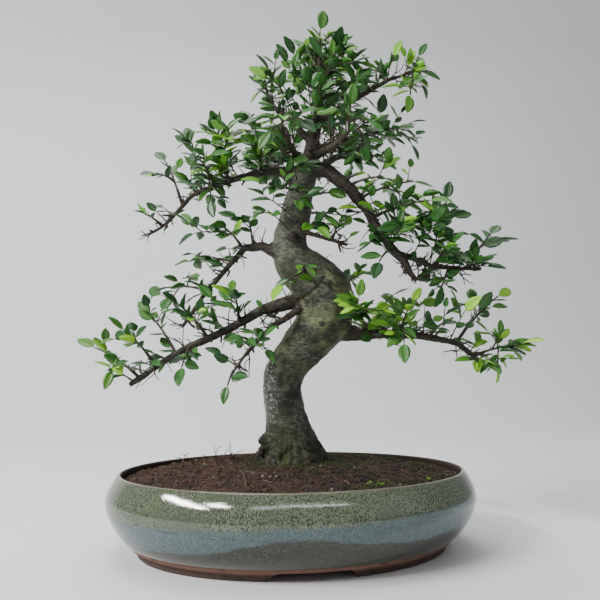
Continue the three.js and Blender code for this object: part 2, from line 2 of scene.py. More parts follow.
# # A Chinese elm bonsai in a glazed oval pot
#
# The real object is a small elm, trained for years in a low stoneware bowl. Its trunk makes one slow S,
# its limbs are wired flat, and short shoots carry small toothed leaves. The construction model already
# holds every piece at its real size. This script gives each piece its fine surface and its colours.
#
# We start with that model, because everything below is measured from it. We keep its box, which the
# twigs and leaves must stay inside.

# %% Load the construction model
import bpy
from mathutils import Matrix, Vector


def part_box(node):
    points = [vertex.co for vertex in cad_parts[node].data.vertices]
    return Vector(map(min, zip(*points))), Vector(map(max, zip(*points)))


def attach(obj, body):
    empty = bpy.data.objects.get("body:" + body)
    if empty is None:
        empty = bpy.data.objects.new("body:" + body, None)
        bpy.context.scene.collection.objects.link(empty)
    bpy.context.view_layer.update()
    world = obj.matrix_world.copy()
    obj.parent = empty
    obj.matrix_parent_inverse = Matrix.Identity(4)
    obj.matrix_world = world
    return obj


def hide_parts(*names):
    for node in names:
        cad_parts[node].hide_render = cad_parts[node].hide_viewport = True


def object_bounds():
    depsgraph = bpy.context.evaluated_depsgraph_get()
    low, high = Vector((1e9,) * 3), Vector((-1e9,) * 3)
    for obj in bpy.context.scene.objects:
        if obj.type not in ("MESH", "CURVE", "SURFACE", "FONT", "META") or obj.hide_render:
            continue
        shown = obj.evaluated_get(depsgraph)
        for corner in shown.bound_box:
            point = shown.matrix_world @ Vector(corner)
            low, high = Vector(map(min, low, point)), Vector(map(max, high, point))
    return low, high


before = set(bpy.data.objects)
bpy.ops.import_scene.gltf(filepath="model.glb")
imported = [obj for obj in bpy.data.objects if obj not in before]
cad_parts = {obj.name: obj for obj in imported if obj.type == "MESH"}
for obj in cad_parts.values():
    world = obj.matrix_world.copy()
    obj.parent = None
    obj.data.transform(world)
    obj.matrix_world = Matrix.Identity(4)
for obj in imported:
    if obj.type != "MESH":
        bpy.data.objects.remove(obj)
cad_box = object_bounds()
print(len(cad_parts), "solids,", [round(size, 3) for size in cad_box[1] - cad_box[0]], "m")

# %% [markdown]
# Next come the tools of the trade. Sizes are written in millimetres and turned into Blender's metres with
# `MM`. The pot stands square to the axes, while the tree is turned a little in it. `TREE_FRAME` is the
# matrix that takes a point of the tree, in millimetres from the middle of the pot, to its place in the
# scene.

# %% Units, places and random draws
import math
import random

import bpy
import numpy as np
from mathutils import Matrix, Quaternion, Vector, noise
from mathutils.bvhtree import BVHTree

MM = 0.001
UP = Vector((0, 0, 1))
pot_low, pot_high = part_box("pot")
MIDDLE = Vector(((pot_low.x + pot_high.x) / 2, (pot_low.y + pot_high.y) / 2, 0))
TREE_TURN = math.radians(-9.1)
TREE_FRAME = Matrix.Translation(MIDDLE) @ Matrix.Rotation(TREE_TURN, 4, "Z") @ Matrix.Scale(MM, 4)
print("The middle of the pot is at", [round(value, 4) for value in MIDDLE])

# %% [markdown]
# Operators act on whatever is selected, so most of the trouble with them comes from a selection that was
# left over. `only` clears it and picks one object. `settle` finishes a piece: its place goes into its
# mesh, it gets its name, it rides with the construction model, and it takes over from the solids that it
# stands for.


# %% Helpers for objects
def only(piece):
    bpy.ops.object.select_all(action="DESELECT")
    piece.select_set(True)
    bpy.context.view_layer.objects.active = piece
    return piece


def link(name, data):
    piece = bpy.data.objects.new(name, data)
    bpy.context.scene.collection.objects.link(piece)
    return only(piece)


def apply_modifier(piece, kind, **settings):
    only(piece)
    modifier = piece.modifiers.new(kind.title(), kind)
    for name, value in settings.items():
        setattr(modifier, name, value)
    bpy.ops.object.modifier_apply(modifier=modifier.name)


def pick(piece, kind, test):
    """Goes into edit mode with those vertices, edges or faces selected whose corners pass the test."""
    only(piece)
    bpy.ops.object.mode_set(mode="EDIT")
    bpy.ops.mesh.select_mode(type=kind)
    bpy.ops.mesh.select_all(action="DESELECT")
    bpy.ops.object.mode_set(mode="OBJECT")
    mesh = piece.data
    parts = {"VERT": mesh.vertices, "EDGE": mesh.edges, "FACE": mesh.polygons}[kind]
    for part in parts:
        corners = [part] if kind == "VERT" else [mesh.vertices[i] for i in part.vertices]
        part.select = test([corner.co for corner in corners])
    bpy.ops.object.mode_set(mode="EDIT")


def triangle_count(piece):
    return sum(len(face.vertices) - 2 for face in piece.data.polygons)


def settle(piece, name, slot, *nodes):
    only(piece)
    bpy.ops.object.transform_apply(location=True, rotation=True, scale=True)
    piece.name = piece.data.name = name
    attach(piece, "root")
    if nodes:
        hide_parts(*nodes)
    return piece


# %% [markdown]
# ## The camera
#
# The picture was taken from low down and a little left of the pot's front, with a slight upward tilt. The
# place and the lens come from fitting the pot's rim, widest outline and feet to the photograph, which is
# 600 pixels wide. A camera looks along its own -Z, so `to_track_quat` turns that axis onto the line of
# sight.

# %% Camera
CAMERA_FROM_POT = Vector((-103.8, -692.3, 182.0))
SIGHT = Vector((0.1573, 0.9822, 0.1024))
CAMERA_ROLL = math.radians(-0.25)
FOCAL_PIXELS = 658
PHOTO_PIXELS = 600
SENSOR_WIDTH = 36

camera_data = bpy.data.cameras.new("camera")
camera_data.sensor_width = SENSOR_WIDTH
camera_data.lens = SENSOR_WIDTH * FOCAL_PIXELS / PHOTO_PIXELS
camera_data.clip_start = 0.01
camera = link("camera", camera_data)
camera.location = MIDDLE + CAMERA_FROM_POT * MM
camera.rotation_mode = "QUATERNION"
camera.rotation_quaternion = SIGHT.to_track_quat("-Z", "Y") @ Quaternion((0, 0, 1), CAMERA_ROLL)
bpy.context.scene.camera = camera
print("Lens", round(camera_data.lens, 1), "mm")

# %% [markdown]
# ## Building materials from nodes
#
# Every finish below is a small network that ends in a Principled shader. These helpers keep the networks
# short to read: `node` adds one node and feeds its inputs, either with a plain value or with another
# node's output. A value that is the same all over goes straight onto the shader's own socket.


# %% Helpers for materials
def new_material(name, **sockets):
    material = bpy.data.materials.new(name)
    material.use_nodes = True
    shader = material.node_tree.nodes["Principled BSDF"]
    for socket, value in sockets.items():
        shader.inputs[socket.replace("_", " ")].default_value = value
    return material, shader


def feed(material, socket, value):
    if isinstance(value, bpy.types.NodeSocket):
        material.node_tree.links.new(value, socket)
    elif isinstance(value, tuple) and socket.type == "RGBA":
        socket.default_value = (*value, 1)
    else:
        socket.default_value = value


def node(material, kind, inputs, output=0, **settings):
    made = material.node_tree.nodes.new(kind)
    for name, value in settings.items():
        setattr(made, name, value)
    for name, value in inputs.items():
        feed(material, made.inputs[name], value)
    return made.outputs[output]


def calc(material, operation, first, second=0.0, third=0.0):
    inputs = {0: first, 1: second, 2: third}
    return node(material, "ShaderNodeMath", inputs, operation=operation)


def times(material, first, second):
    return calc(material, "MULTIPLY", first, second)


def spots(material, place, scale, detail=2.0, roughness=0.5):
    inputs = {"Vector": place, "Scale": scale, "Detail": detail, "Roughness": roughness}
    return node(material, "ShaderNodeTexNoise", inputs)


def step(material, value, low, high):
    """0 at low, 1 at high, and a soft edge between them. Low may be the larger, which turns it round."""
    inputs = {"Value": value, "From Min": low, "From Max": high}
    return node(material, "ShaderNodeMapRange", inputs, interpolation_type="SMOOTHSTEP")


def blend(material, share, first, second):
    inputs = {0: share, 6: first, 7: second}
    return node(material, "ShaderNodeMix", inputs, 2, data_type="RGBA")


def tint(material, base, mask, strength, colour):
    """Lays a colour over a base as strongly as the mask times the strength says."""
    return blend(material, times(material, mask, strength), base, colour)


def object_place(material, stretch=(1, 1, 1)):
    """Object coordinates in millimetres from the middle of the pot, stretched per axis."""
    made = material.node_tree.nodes.new("ShaderNodeTexCoord")
    scale = [value / MM for value in stretch]
    shift = [-middle * value for middle, value in zip(MIDDLE, scale)]
    inputs = {"Vector": made.outputs["Object"], "Location": shift, "Scale": scale}
    return node(material, "ShaderNodeMapping", inputs)


def axis_of(material, place, axis):
    return node(material, "ShaderNodeSeparateXYZ", {0: place}, axis)


def attribute(material, name):
    return node(material, "ShaderNodeAttribute", {}, "Fac", attribute_name=name)


def paint(material, shader, colour):
    feed(material, shader.inputs["Base Color"], colour)


def raise_surface(material, shader, height, distance):
    inputs = {"Height": height, "Distance": distance * MM, "Strength": 1.0}
    feed(material, shader.inputs["Normal"], node(material, "ShaderNodeBump", inputs))


def mottled(name, roughness, patches, edges, dark, pale, grain):
    """A simple finish: patches of two colours, with edges as step takes them, and a fine raised grain."""
    material, shader = new_material(name, Roughness=roughness)
    place = object_place(material)
    share = step(material, spots(material, place, *patches), *edges)
    paint(material, shader, blend(material, share, dark, pale))
    raise_surface(material, shader, spots(material, place, grain), 0.1)
    return material


# %% [markdown]
# ## The stage
#
# The object stands on a pale floor that curves up behind it, as in a photographer's studio. The floor
# starts as a plane. Its far edge is extruded upwards, and the fold between the two is rounded with a
# bevel.

# %% Floor
FLOOR_SIZE = 5.0
FLOOR_FAR = 1.9
BACKDROP_HEIGHT = 3.0
FOLD_RADIUS = 0.9

floor_material, floor_shader = new_material("pale_floor", Roughness=0.55)
floor_cloud = spots(floor_material, object_place(floor_material), 0.004, 3.0)
floor_colour = blend(floor_material, floor_cloud, (0.74, 0.75, 0.77), (0.80, 0.81, 0.82))
paint(floor_material, floor_shader, floor_colour)

bpy.ops.mesh.primitive_plane_add(size=FLOOR_SIZE, location=(0, FLOOR_FAR - FLOOR_SIZE / 2, 0))
floor = bpy.context.object
bpy.ops.object.transform_apply(location=True)
pick(floor, "EDGE", lambda ends: all(end.y > FLOOR_FAR / 2 for end in ends))
bpy.ops.mesh.extrude_region_move(TRANSFORM_OT_translate={"value": (0, 0, BACKDROP_HEIGHT)})
bpy.ops.object.mode_set(mode="OBJECT")
pick(floor, "EDGE", lambda ends: all(end.y > FLOOR_FAR / 2 and end.z < MM for end in ends))
bpy.ops.mesh.bevel(offset=FOLD_RADIUS, segments=24)
bpy.ops.object.mode_set(mode="OBJECT")
bpy.ops.object.shade_smooth()
floor.name = "floor"
floor.data.materials.append(floor_material)
print("Floor with", len(floor.data.polygons), "faces")

# %% [markdown]
# The light is soft daylight. A long narrow window stands up and to the left, with a small pane beside it,
# and the two give the glaze its thin bright streaks. A faint strip stands in front, a weak panel on the
# right opens the shadows, and a large panel overhead lights the crown.


# %% Lights
LIT_POINT = Vector((0, 0, 0.25))
WINDOW_COLOUR = (1.0, 0.99, 0.97)


def add_light(name, place, size, power, colour=(1, 1, 1)):
    data = bpy.data.lights.new(name, "AREA")
    data.shape = "RECTANGLE"
    data.size, data.size_y = size
    data.energy = power
    data.color = colour
    light = link(name, data)
    light.location = place
    light.rotation_mode = "QUATERNION"
    light.rotation_quaternion = (LIT_POINT - light.location).to_track_quat("-Z", "Y")
    return light


add_light("window", (-2.05, -0.8, 1.66), (1.2, 0.05), 82, WINDOW_COLOUR)
add_light("window_pane", (-1.35, -1.3, 1.66), (0.4, 0.04), 16, WINDOW_COLOUR)
add_light("window_strip", (0.05, -1.5, 1.5), (1.6, 0.03), 4)
add_light("fill", (1.5, -1.2, 0.9), (1.2, 1.2), 1.5, (0.95, 0.98, 1.0))
add_light("top", (-0.1, 0.4, 1.9), (1.4, 1.4), 26)

world = bpy.data.worlds.new("room")
bpy.context.scene.world = world
world.use_nodes = True
background = world.node_tree.nodes["Background"]
background.inputs["Color"].default_value = (0.90, 0.92, 0.93, 1)
background.inputs["Strength"].default_value = 0.36

# %% [markdown]
# ## The pot
#
# The bowl was cast in one piece, dipped in glaze and stood on its bare foot ring. Its outline is an oval
# whose rings all lie the same distance inside the widest one, so each ring is given by two numbers: how
# far it is set in, and its height. The list walks from under the bowl, round the foot, up the outside,
# over the lip and down the inside to the floor.

# %% Pot outline
HALF_LENGTH, HALF_WIDTH = 190, 148.5
FOOT_TOP = 7.5
POT_RINGS = [
    (110, 7.5), (60, 7.5), (45.5, 7.5), (44.2, 7.2), (43.4, 6), (43, 1.2), (42.4, 0.3), (41.4, 0),
    (34, 0), (32.8, 0.3), (32.1, 1.3), (31.4, 4), (30.8, 6.8), (30.2, 7.7), (28, 8.2), (26, 8.9),
    (25, 10.1), (25.1, 11.2), (24.9, 11.9), (23.6, 12.2), (22.4, 13), (16, 18.5), (9, 28), (2.6, 40),
    (0.1, 50), (1, 58), (4.5, 66), (9, 73.5), (10.9, 76.3), (12.2, 77.5), (13.6, 77.9), (15, 77.3),
    (15.7, 76), (14.4, 71), (10, 62), (8, 50), (12, 35), (20, 22), (28, 16.5), (38, 15), (60, 15), (110, 15),
]
print(len(POT_RINGS), "rings")

# %% [markdown]
# The first ring is a circle primitive, resized to an oval. Then the same two steps are repeated: extrude
# the open edge straight up or down, and resize it to the next ring. The open edge that is left at each
# end is merged to a point, which closes the shape. Subdivision rounds it, with enough rings close
# together where an edge has to stay crisp.


# %% Extrude rings into a closed oval shape
def open_oval(ring, sides):
    inset, height = ring
    bpy.ops.mesh.primitive_circle_add(vertices=sides, radius=MM, location=MIDDLE + UP * height * MM)
    bpy.ops.object.mode_set(mode="EDIT")
    bpy.ops.mesh.select_mode(type="VERT")
    bpy.ops.mesh.select_all(action="SELECT")
    bpy.ops.transform.resize(value=(HALF_LENGTH - inset, HALF_WIDTH - inset, 1))


def next_oval(before, after):
    rise = (after[1] - before[1]) * MM
    bpy.ops.mesh.extrude_region_move(TRANSFORM_OT_translate={"value": (0, 0, rise)})
    factors = [(half - after[0]) / (half - before[0]) for half in (HALF_LENGTH, HALF_WIDTH)]
    centre = MIDDLE + UP * after[1] * MM
    bpy.ops.transform.resize(value=(*factors, 1), center_override=centre)


def oval_shape(rings, sides):
    open_oval(rings[0], sides)
    for before, after in zip(rings, rings[1:]):
        next_oval(before, after)
    bpy.ops.mesh.merge(type="CENTER")
    bpy.ops.mesh.select_all(action="DESELECT")
    bpy.ops.mesh.select_non_manifold(extend=False)
    bpy.ops.mesh.merge(type="CENTER")
    bpy.ops.mesh.select_all(action="SELECT")
    bpy.ops.mesh.normals_make_consistent(inside=False)
    bpy.ops.object.mode_set(mode="OBJECT")
    bpy.ops.object.transform_apply(location=True, rotation=True, scale=True)
    return bpy.context.object


POT_SIDES = 72
pot = oval_shape(POT_RINGS, POT_SIDES)
apply_modifier(pot, "SUBSURF", levels=2, render_levels=2)
print("Pot with", triangle_count(pot), "triangles")

# %% [markdown]
# The foot ring is cut away in the middle of the front and the back, so that air and water pass under the
# bowl. One long block with sloping sides does both cuts. Two upright cylinders drill the drain holes.
# Each cutter is a primitive, shaped and then taken away with a Boolean modifier.

# %% Cut the feet and the drain holes
CUT_TOP, CUT_BOTTOM = 66, 82
CUT_CORNER = 3.0
CUT_DEPTH = 10
CUT_LENGTH = 2.2 * HALF_WIDTH
DRAIN_RADIUS = 11
DRAIN_X = 78
DRILL_LENGTH = 30


def cut_away(piece, cutter):
    apply_modifier(piece, "BOOLEAN", operation="DIFFERENCE", object=cutter, solver="EXACT")
    bpy.data.objects.remove(cutter)


slope = (CUT_BOTTOM - CUT_TOP) / 2 / FOOT_TOP
bpy.ops.mesh.primitive_cube_add(size=1, location=MIDDLE + UP * (FOOT_TOP - CUT_DEPTH / 2) * MM)
foot_cutter = bpy.context.object
foot_cutter.dimensions = (CUT_TOP * MM, CUT_LENGTH * MM, CUT_DEPTH * MM)
bpy.ops.object.transform_apply(location=True, scale=True)
for vertex in foot_cutter.data.vertices:
    if vertex.co.z < 0:
        vertex.co.x += math.copysign(slope * CUT_DEPTH * MM, vertex.co.x - MIDDLE.x)
pick(foot_cutter, "EDGE", lambda ends: min(end.z for end in ends) > 0 and abs(ends[0].x - ends[1].x) < MM)
bpy.ops.mesh.bevel(offset=CUT_CORNER * MM, segments=4)
bpy.ops.object.mode_set(mode="OBJECT")
cut_away(pot, foot_cutter)
for side in (-1, 1):
    drain_place = MIDDLE + Vector((side * DRAIN_X, 0, FOOT_TOP)) * MM
    bpy.ops.mesh.primitive_cylinder_add(vertices=48, radius=DRAIN_RADIUS * MM, depth=DRILL_LENGTH * MM,
                                        location=drain_place)
    cut_away(pot, bpy.context.object)
print("Pot cut,", triangle_count(pot), "triangles")

# %% [markdown]
# The glaze on the real bowl is in three zones. The shoulder is olive, finely mottled with tan, because
# the glaze ran a little in the kiln. Below it hangs a blue-grey band whose edges wander, with soft dark
# smudges along its top. Under that the glaze is a dark speckled olive, which rises into the band as a
# tongue near the middle of the front. At the lip it thins out to a pale line. The network works from the
# height above the floor: each edge of the band is a formula of the place along the bowl, roughened with
# noise.

# %% Glaze
glaze, glaze_shader = new_material("glaze", Roughness=0.035, Coat_Weight=0.25, Coat_Roughness=0.02, IOR=1.52)
pot_place = object_place(glaze)
pot_x = axis_of(glaze, pot_place, 0)
pot_z = axis_of(glaze, pot_place, 2)

fine_speckle = spots(glaze, object_place(glaze, (1, 1, 0.5)), 0.98, 3.0, 0.55)
finest_speckle = spots(glaze, pot_place, 0.66, 5.0, 0.7)
broad_cloud = spots(glaze, pot_place, 0.028, 3.0)
wander = calc(glaze, "MULTIPLY_ADD", spots(glaze, pot_place, 0.05, 4.0), 9.0, -4.5)
drips = calc(glaze, "MULTIPLY_ADD", spots(glaze, object_place(glaze, (1, 1, 0.12)), 0.35, 2.0), 4.0, -2.0)
rough_height = calc(glaze, "ADD", calc(glaze, "ADD", pot_z, wander), drips)

BAND_TOP, BAND_TOP_RISE = 51.0, 0.036
BAND_FOOT, BAND_FOOT_RISE = 27.0, 0.035
TONGUE_PLACE, TONGUE_WIDTH, TONGUE_HEIGHT = -20.0, 66.0, 15.0
band_top = calc(glaze, "MULTIPLY_ADD", pot_x, BAND_TOP_RISE, BAND_TOP)
tongue_off = calc(glaze, "DIVIDE", calc(glaze, "SUBTRACT", pot_x, TONGUE_PLACE), TONGUE_WIDTH)
tongue = calc(glaze, "EXPONENT", times(glaze, times(glaze, tongue_off, tongue_off), -1.0))
band_foot = calc(glaze, "MULTIPLY_ADD", pot_x, BAND_FOOT_RISE, BAND_FOOT)
band_foot = calc(glaze, "MULTIPLY_ADD", tongue, TONGUE_HEIGHT, band_foot)

olive = blend(glaze, step(glaze, fine_speckle, 0.40, 0.60), (0.023, 0.037, 0.021), (0.134, 0.154, 0.100))
olive = blend(glaze, step(glaze, broad_cloud, 0.45, 0.85), olive, (0.062, 0.084, 0.052))
blue_grey = blend(glaze, step(glaze, fine_speckle, 0.35, 0.7), (0.034, 0.062, 0.066), (0.100, 0.146, 0.148))
blue_grey = blend(glaze, step(glaze, drips, -0.2, 1.2), blue_grey, (0.036, 0.066, 0.068))
dark_speckle = step(glaze, finest_speckle, 0.42, 0.62)
dark_olive = blend(glaze, dark_speckle, (0.005, 0.007, 0.004), (0.047, 0.048, 0.030))
smudge = step(glaze, spots(glaze, object_place(glaze, (0.4, 0.4, 3)), 0.07, 5.0, 0.6), 0.50, 0.62)
below_top = calc(glaze, "SUBTRACT", band_top, rough_height)
near_top = times(glaze, step(glaze, below_top, -1, 2), step(glaze, below_top, 13, 5))
blue_grey = tint(glaze, blue_grey, times(glaze, smudge, near_top), 0.75, (0.026, 0.046, 0.050))
above_band = step(glaze, calc(glaze, "SUBTRACT", rough_height, band_top), -2.2, 2.2)
above_foot = step(glaze, calc(glaze, "SUBTRACT", rough_height, band_foot), -1.2, 1.2)
glaze_colour = blend(glaze, above_foot, dark_olive, blend(glaze, above_band, blue_grey, olive))

GLAZE_END = 12.2
LIP_HEIGHT = 75.8
glaze_pool = step(glaze, pot_z, GLAZE_END + 3.5, GLAZE_END + 1.5)
glaze_colour = blend(glaze, glaze_pool, glaze_colour, (0.03, 0.045, 0.022))
lip = step(glaze, calc(glaze, "ADD", pot_z, times(glaze, wander, 0.2)), LIP_HEIGHT, LIP_HEIGHT + 2.4)
glaze_colour = blend(glaze, lip, glaze_colour, (0.125, 0.110, 0.072))
paint(glaze, glaze_shader, glaze_colour)
raise_surface(glaze, glaze_shader, calc(glaze, "ADD", fine_speckle, times(glaze, wander, 0.3)), 0.06)
print("Glaze with", len(glaze.node_tree.nodes), "nodes")

# %% [markdown]
# The foot and the inside are bare stoneware, which fires to a red brown. The bottom of the foot is painted
# dark, as painted shadow where it stands, and the inside wall turns dark brown from 24 mm up. Faces are
# told apart by their place and by the way that they look: the glazed ones lie above the foot's moulding
# and look away from the middle.

# %% Bare clay, and which faces it covers
clay, clay_shader = new_material("bare_clay", Roughness=0.82)
clay_place = object_place(clay)
clay_grain = spots(clay, clay_place, 0.9, 4.0, 0.65)
clay_cloud = spots(clay, clay_place, 0.06, 3.0)
clay_z = axis_of(clay, clay_place, 2)
clay_colour = blend(clay, clay_grain, (0.095, 0.044, 0.032), (0.28, 0.140, 0.100))
clay_colour = blend(clay, step(clay, clay_cloud, 0.45, 0.7), clay_colour, (0.050, 0.028, 0.021))
# The bottom of the foot is painted near black here: painted shadow where the foot stands.
painted_foot_shade_height = calc(clay, "MULTIPLY_ADD", clay_cloud, 4.0, clay_z)
clay_colour = tint(clay, clay_colour, step(clay, painted_foot_shade_height, 9.5, 6.5), 0.8, (0.030, 0.021, 0.017))
# The inside wall turns dark brown from 24 mm up.
clay_colour = blend(clay, step(clay, clay_z, 24, 40), clay_colour, (0.035, 0.022, 0.016))
paint(clay, clay_shader, clay_colour)
raise_surface(clay, clay_shader, clay_grain, 0.25)

pot.data.materials.append(glaze)
pot.data.materials.append(clay)
for face in pot.data.polygons:
    outward = Vector((face.center.x - MIDDLE.x, face.center.y - MIDDLE.y, 0)).normalized()
    is_glazed = face.center.z > GLAZE_END * MM and face.normal.dot(outward) > -0.35
    face.material_index = 0 if is_glazed else 1
only(pot)
bpy.ops.object.shade_smooth_by_angle(angle=math.radians(32))
settle(pot, "oval_pot", "glaze", "pot")
print("Pot done")

# %% [markdown]
# ## The drainage mesh
#
# A square of black plastic mesh lies over each drain hole and keeps the soil in. A grid primitive gives
# the lattice: each of its faces is inset, the middles are deleted, and what is left gets a thickness.

# %% Drainage mesh
SCREEN_SIZE = 40
SCREEN_CELLS = 9
SCREEN_BAR = 0.75
SCREEN_THICKNESS = 1.1
SCREEN_EDGE = 0.15

plastic, plastic_shader = new_material("mesh_plastic", Roughness=0.45)
plastic_grain = spots(plastic, object_place(plastic), 1.4, 3.0)
plastic_colour = blend(plastic, plastic_grain, (0.010, 0.012, 0.013), (0.03, 0.034, 0.036))
paint(plastic, plastic_shader, plastic_colour)
raise_surface(plastic, plastic_shader, plastic_grain, 0.08)


def drainage_mesh(node_name):
    low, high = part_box(node_name)
    place = (low + high) / 2
    bpy.ops.mesh.primitive_grid_add(x_subdivisions=SCREEN_CELLS, y_subdivisions=SCREEN_CELLS,
                                    size=SCREEN_SIZE * MM, location=place)
    screen = bpy.context.object
    bpy.ops.object.mode_set(mode="EDIT")
    bpy.ops.mesh.select_mode(type="FACE")
    bpy.ops.mesh.select_all(action="SELECT")
    bpy.ops.mesh.inset(thickness=SCREEN_BAR * MM, use_individual=True)
    bpy.ops.mesh.delete(type="FACE")
    bpy.ops.object.mode_set(mode="OBJECT")
    apply_modifier(screen, "SOLIDIFY", thickness=SCREEN_THICKNESS * MM, offset=0)
    apply_modifier(screen, "BEVEL", width=SCREEN_EDGE * MM, segments=1, limit_method="ANGLE")
    screen.data.materials.append(plastic)
    return screen


for side in ("left", "right"):
    screen = drainage_mesh("drain_screen_" + side)
    settle(screen, "drainage_mesh_" + side, "mesh_plastic", "drain_screen_" + side)
print("Drainage mesh,", triangle_count(screen), "triangles each")

# %% [markdown]
# ## The soil
#
# The bowl is filled with a peaty compost that mounds up at the trunk. The body is made as the pot was,
# from oval rings: the floor, the wall, and then many rings across the top, whose heights come from one
# formula. Finer noise is added to the top afterwards, so that the crumbs that come next don't lie on a
# smooth hill.


# %% Soil body
SOIL_END_LEVEL, SOIL_SIDE_LEVEL, SOIL_MOUND_LEVEL = 68, 73, 84
SOIL_FALL = 1.8
SOIL_LUMP, SOIL_LUMP_LENGTH, SOIL_LUMP_WIDTH = 1.1, 17, 13
SOIL_ROUGHNESS = [(1.3, 9, 3), (0.8, 3.5, 8)]
SOIL_SIDES = 192
SOIL_WALL_RINGS = [
    (110, 15.3), (60, 15.3), (36.3, 15.3), (20.3, 22.3), (12.3, 35.3), (8.3, 50.3), (10.3, 62.3),
]
TOP_RING_COUNT, TOP_RING_EDGE, TOP_RING_STEP, TOP_RING_HEIGHT = 48, 16.4, 2.6, 70


def soil_level(x, y):
    reach = math.hypot(x / HALF_LENGTH, y / HALF_WIDTH)
    end = abs(x / HALF_LENGTH) / reach if reach > 0 else 0
    edge = SOIL_SIDE_LEVEL + (SOIL_END_LEVEL - SOIL_SIDE_LEVEL) * end * end
    lumps = SOIL_LUMP * math.sin(x / SOIL_LUMP_LENGTH + 1) * math.cos(y / SOIL_LUMP_WIDTH) * reach
    return edge + (SOIL_MOUND_LEVEL - edge) * max(0, 1 - reach ** SOIL_FALL) + lumps


def soil_point(x, y):
    """The soil's top at x, y, in millimetres from the middle of the pot, as a place in the scene."""
    rough = sum(rise * noise.noise(Vector((x, y, layer)) / size) for rise, size, layer in SOIL_ROUGHNESS)
    return MIDDLE + Vector((x, y, soil_level(x, y) + rough)) * MM


top_rings = [(TOP_RING_EDGE + TOP_RING_STEP * i, TOP_RING_HEIGHT) for i in range(TOP_RING_COUNT)]
soil = oval_shape(SOIL_WALL_RINGS + top_rings, SOIL_SIDES)
for vertex in soil.data.vertices:
    place = (vertex.co - MIDDLE) / MM
    if place.z > TOP_RING_HEIGHT - 1:
        vertex.co = soil_point(place.x, place.y)
print("Soil body,", triangle_count(soil), "triangles")

# %% [markdown]
# What makes it read as compost is the loose stuff: crumbs of peat, fine dead roots, and a little moss
# near the trunk. Each kind is modelled once and stamped thousands of times into one mesh. `stamp` does
# that with plain arrays, because one operator call per crumb would take minutes. It also writes a tone
# for each copy, which the materials use so that no two neighbours match.


# %% Stamp copies of a shape
def shape_arrays(piece):
    """The corners, the faces and the map of a modelled shape, which is then removed."""
    mesh = piece.data
    corners = np.empty(len(mesh.vertices) * 3)
    mesh.vertices.foreach_get("co", corners)
    corners = np.c_[corners.reshape(-1, 3), np.ones(len(mesh.vertices))]
    faces = [list(face.vertices) for face in mesh.polygons]
    chart = np.zeros(len(mesh.loops) * 2)
    if mesh.uv_layers:
        mesh.uv_layers[0].data.foreach_get("uv", chart)
    bpy.data.objects.remove(piece)
    return corners, faces, chart


def stamp(name, shapes, copies):
    """One mesh object from copies, each a shape's number, its matrix, and its tone and youth from 0 to 1."""
    corners, faces, charts, tones, youths = [], [], [], [], []
    start = 0
    for number, matrix, tone, youth in copies:
        shape_corners, shape_faces, chart = shapes[number]
        corners.append((shape_corners @ np.array(matrix.transposed()))[:, :3])
        faces.extend([start + i for i in face] for face in shape_faces)
        charts.append(chart)
        tones.append(np.full(len(shape_corners), tone))
        youths.append(np.full(len(shape_corners), youth))
        start += len(shape_corners)
    mesh = bpy.data.meshes.new(name)
    mesh.from_pydata(np.concatenate(corners).tolist(), [], faces)
    mesh.uv_layers.new(name="UVMap").data.foreach_set("uv", np.concatenate(charts))
    for kind, values in (("tone", tones), ("youth", youths)):
        mesh.attributes.new(kind, "FLOAT", "POINT").data.foreach_set("value", np.concatenate(values))
    mesh.polygons.foreach_set("use_smooth", np.ones(len(faces), dtype=bool))
    return link(name, mesh)


def tubes(name, strands, corners=6):
    """One mesh of round tubes. A strand is a list of places, each with its radius in millimetres."""
    curve = bpy.data.curves.new(name, "CURVE")
    curve.dimensions = "3D"
    curve.bevel_depth = MM
    curve.bevel_resolution = corners // 2 - 2
    curve.use_fill_caps = True
    for strand in strands:
        spline = curve.splines.new("POLY")
        spline.points.add(len(strand) - 1)
        for point, (place, radius) in zip(spline.points, strand):
            point.co = (*place, 1)
            point.radius = radius
    piece = link(name, curve)
    bpy.ops.object.convert(target="MESH")
    bpy.ops.object.shade_smooth()
    return bpy.context.object


# %% [markdown]
# A crumb starts as the coarsest ball there is, 20 triangles, and its corners are pushed about with noise
# until nothing of the ball is left. Four different crumbs are enough: each copy is turned and stretched
# as well. Fine grains fill the gaps between them. There are so many that each is only a small pyramid.


# %% Crumbs
def crumb_shape(seed):
    bpy.ops.mesh.primitive_ico_sphere_add(subdivisions=1, radius=1)
    crumb = bpy.context.object
    for vertex in crumb.data.vertices:
        vertex.co *= 0.75 + 0.45 * noise.noise(vertex.co * 1.7 + Vector((seed, 0, 0)))
    return shape_arrays(crumb)


CRUMB_COUNT = 3400
CRUMB_SIZES = (0.6, 2.7)
GRAIN_COUNT = 15000
GRAIN_SIZES = (0.35, 0.95)
FOOT_PLACE = (-1, 15)
FOOT_CLEAR = 38
CRUMB_CLEAR = FOOT_CLEAR - 6
SOIL_MARGIN = 19
MOSS_REACH = 34
draw = random.Random(11)


def random_turn(draw):
    axis = Vector([draw.gauss(0, 1) for _ in range(3)]).normalized()
    return Matrix.Rotation(draw.uniform(0, math.tau), 4, axis)


def soil_spot(draw):
    """A random place on the soil's top, in millimetres from the middle of the pot, clear of the trunk."""
    while True:
        angle = draw.uniform(0, math.tau)
        reach = math.sqrt(draw.random())
        x = reach * (HALF_LENGTH - SOIL_MARGIN) * math.cos(angle)
        y = reach * (HALF_WIDTH - SOIL_MARGIN) * math.sin(angle)
        if math.hypot(x - FOOT_PLACE[0], y - FOOT_PLACE[1]) > CRUMB_CLEAR:
            return x, y


def moss_cover(x, y):
    """How much moss grows there: round the trunk, and in patches on the right."""
    near = math.hypot(x - FOOT_PLACE[0], y - FOOT_PLACE[1]) - FOOT_CLEAR
    patch = noise.noise(Vector((x, y, 40)) / 22) + 0.5 * noise.noise(Vector((x, y, 70)) / 7)
    return max(0, 1 - near / MOSS_REACH) * 1.15 + patch * 1.1 + min(0.25, max(-0.1, x / 200))


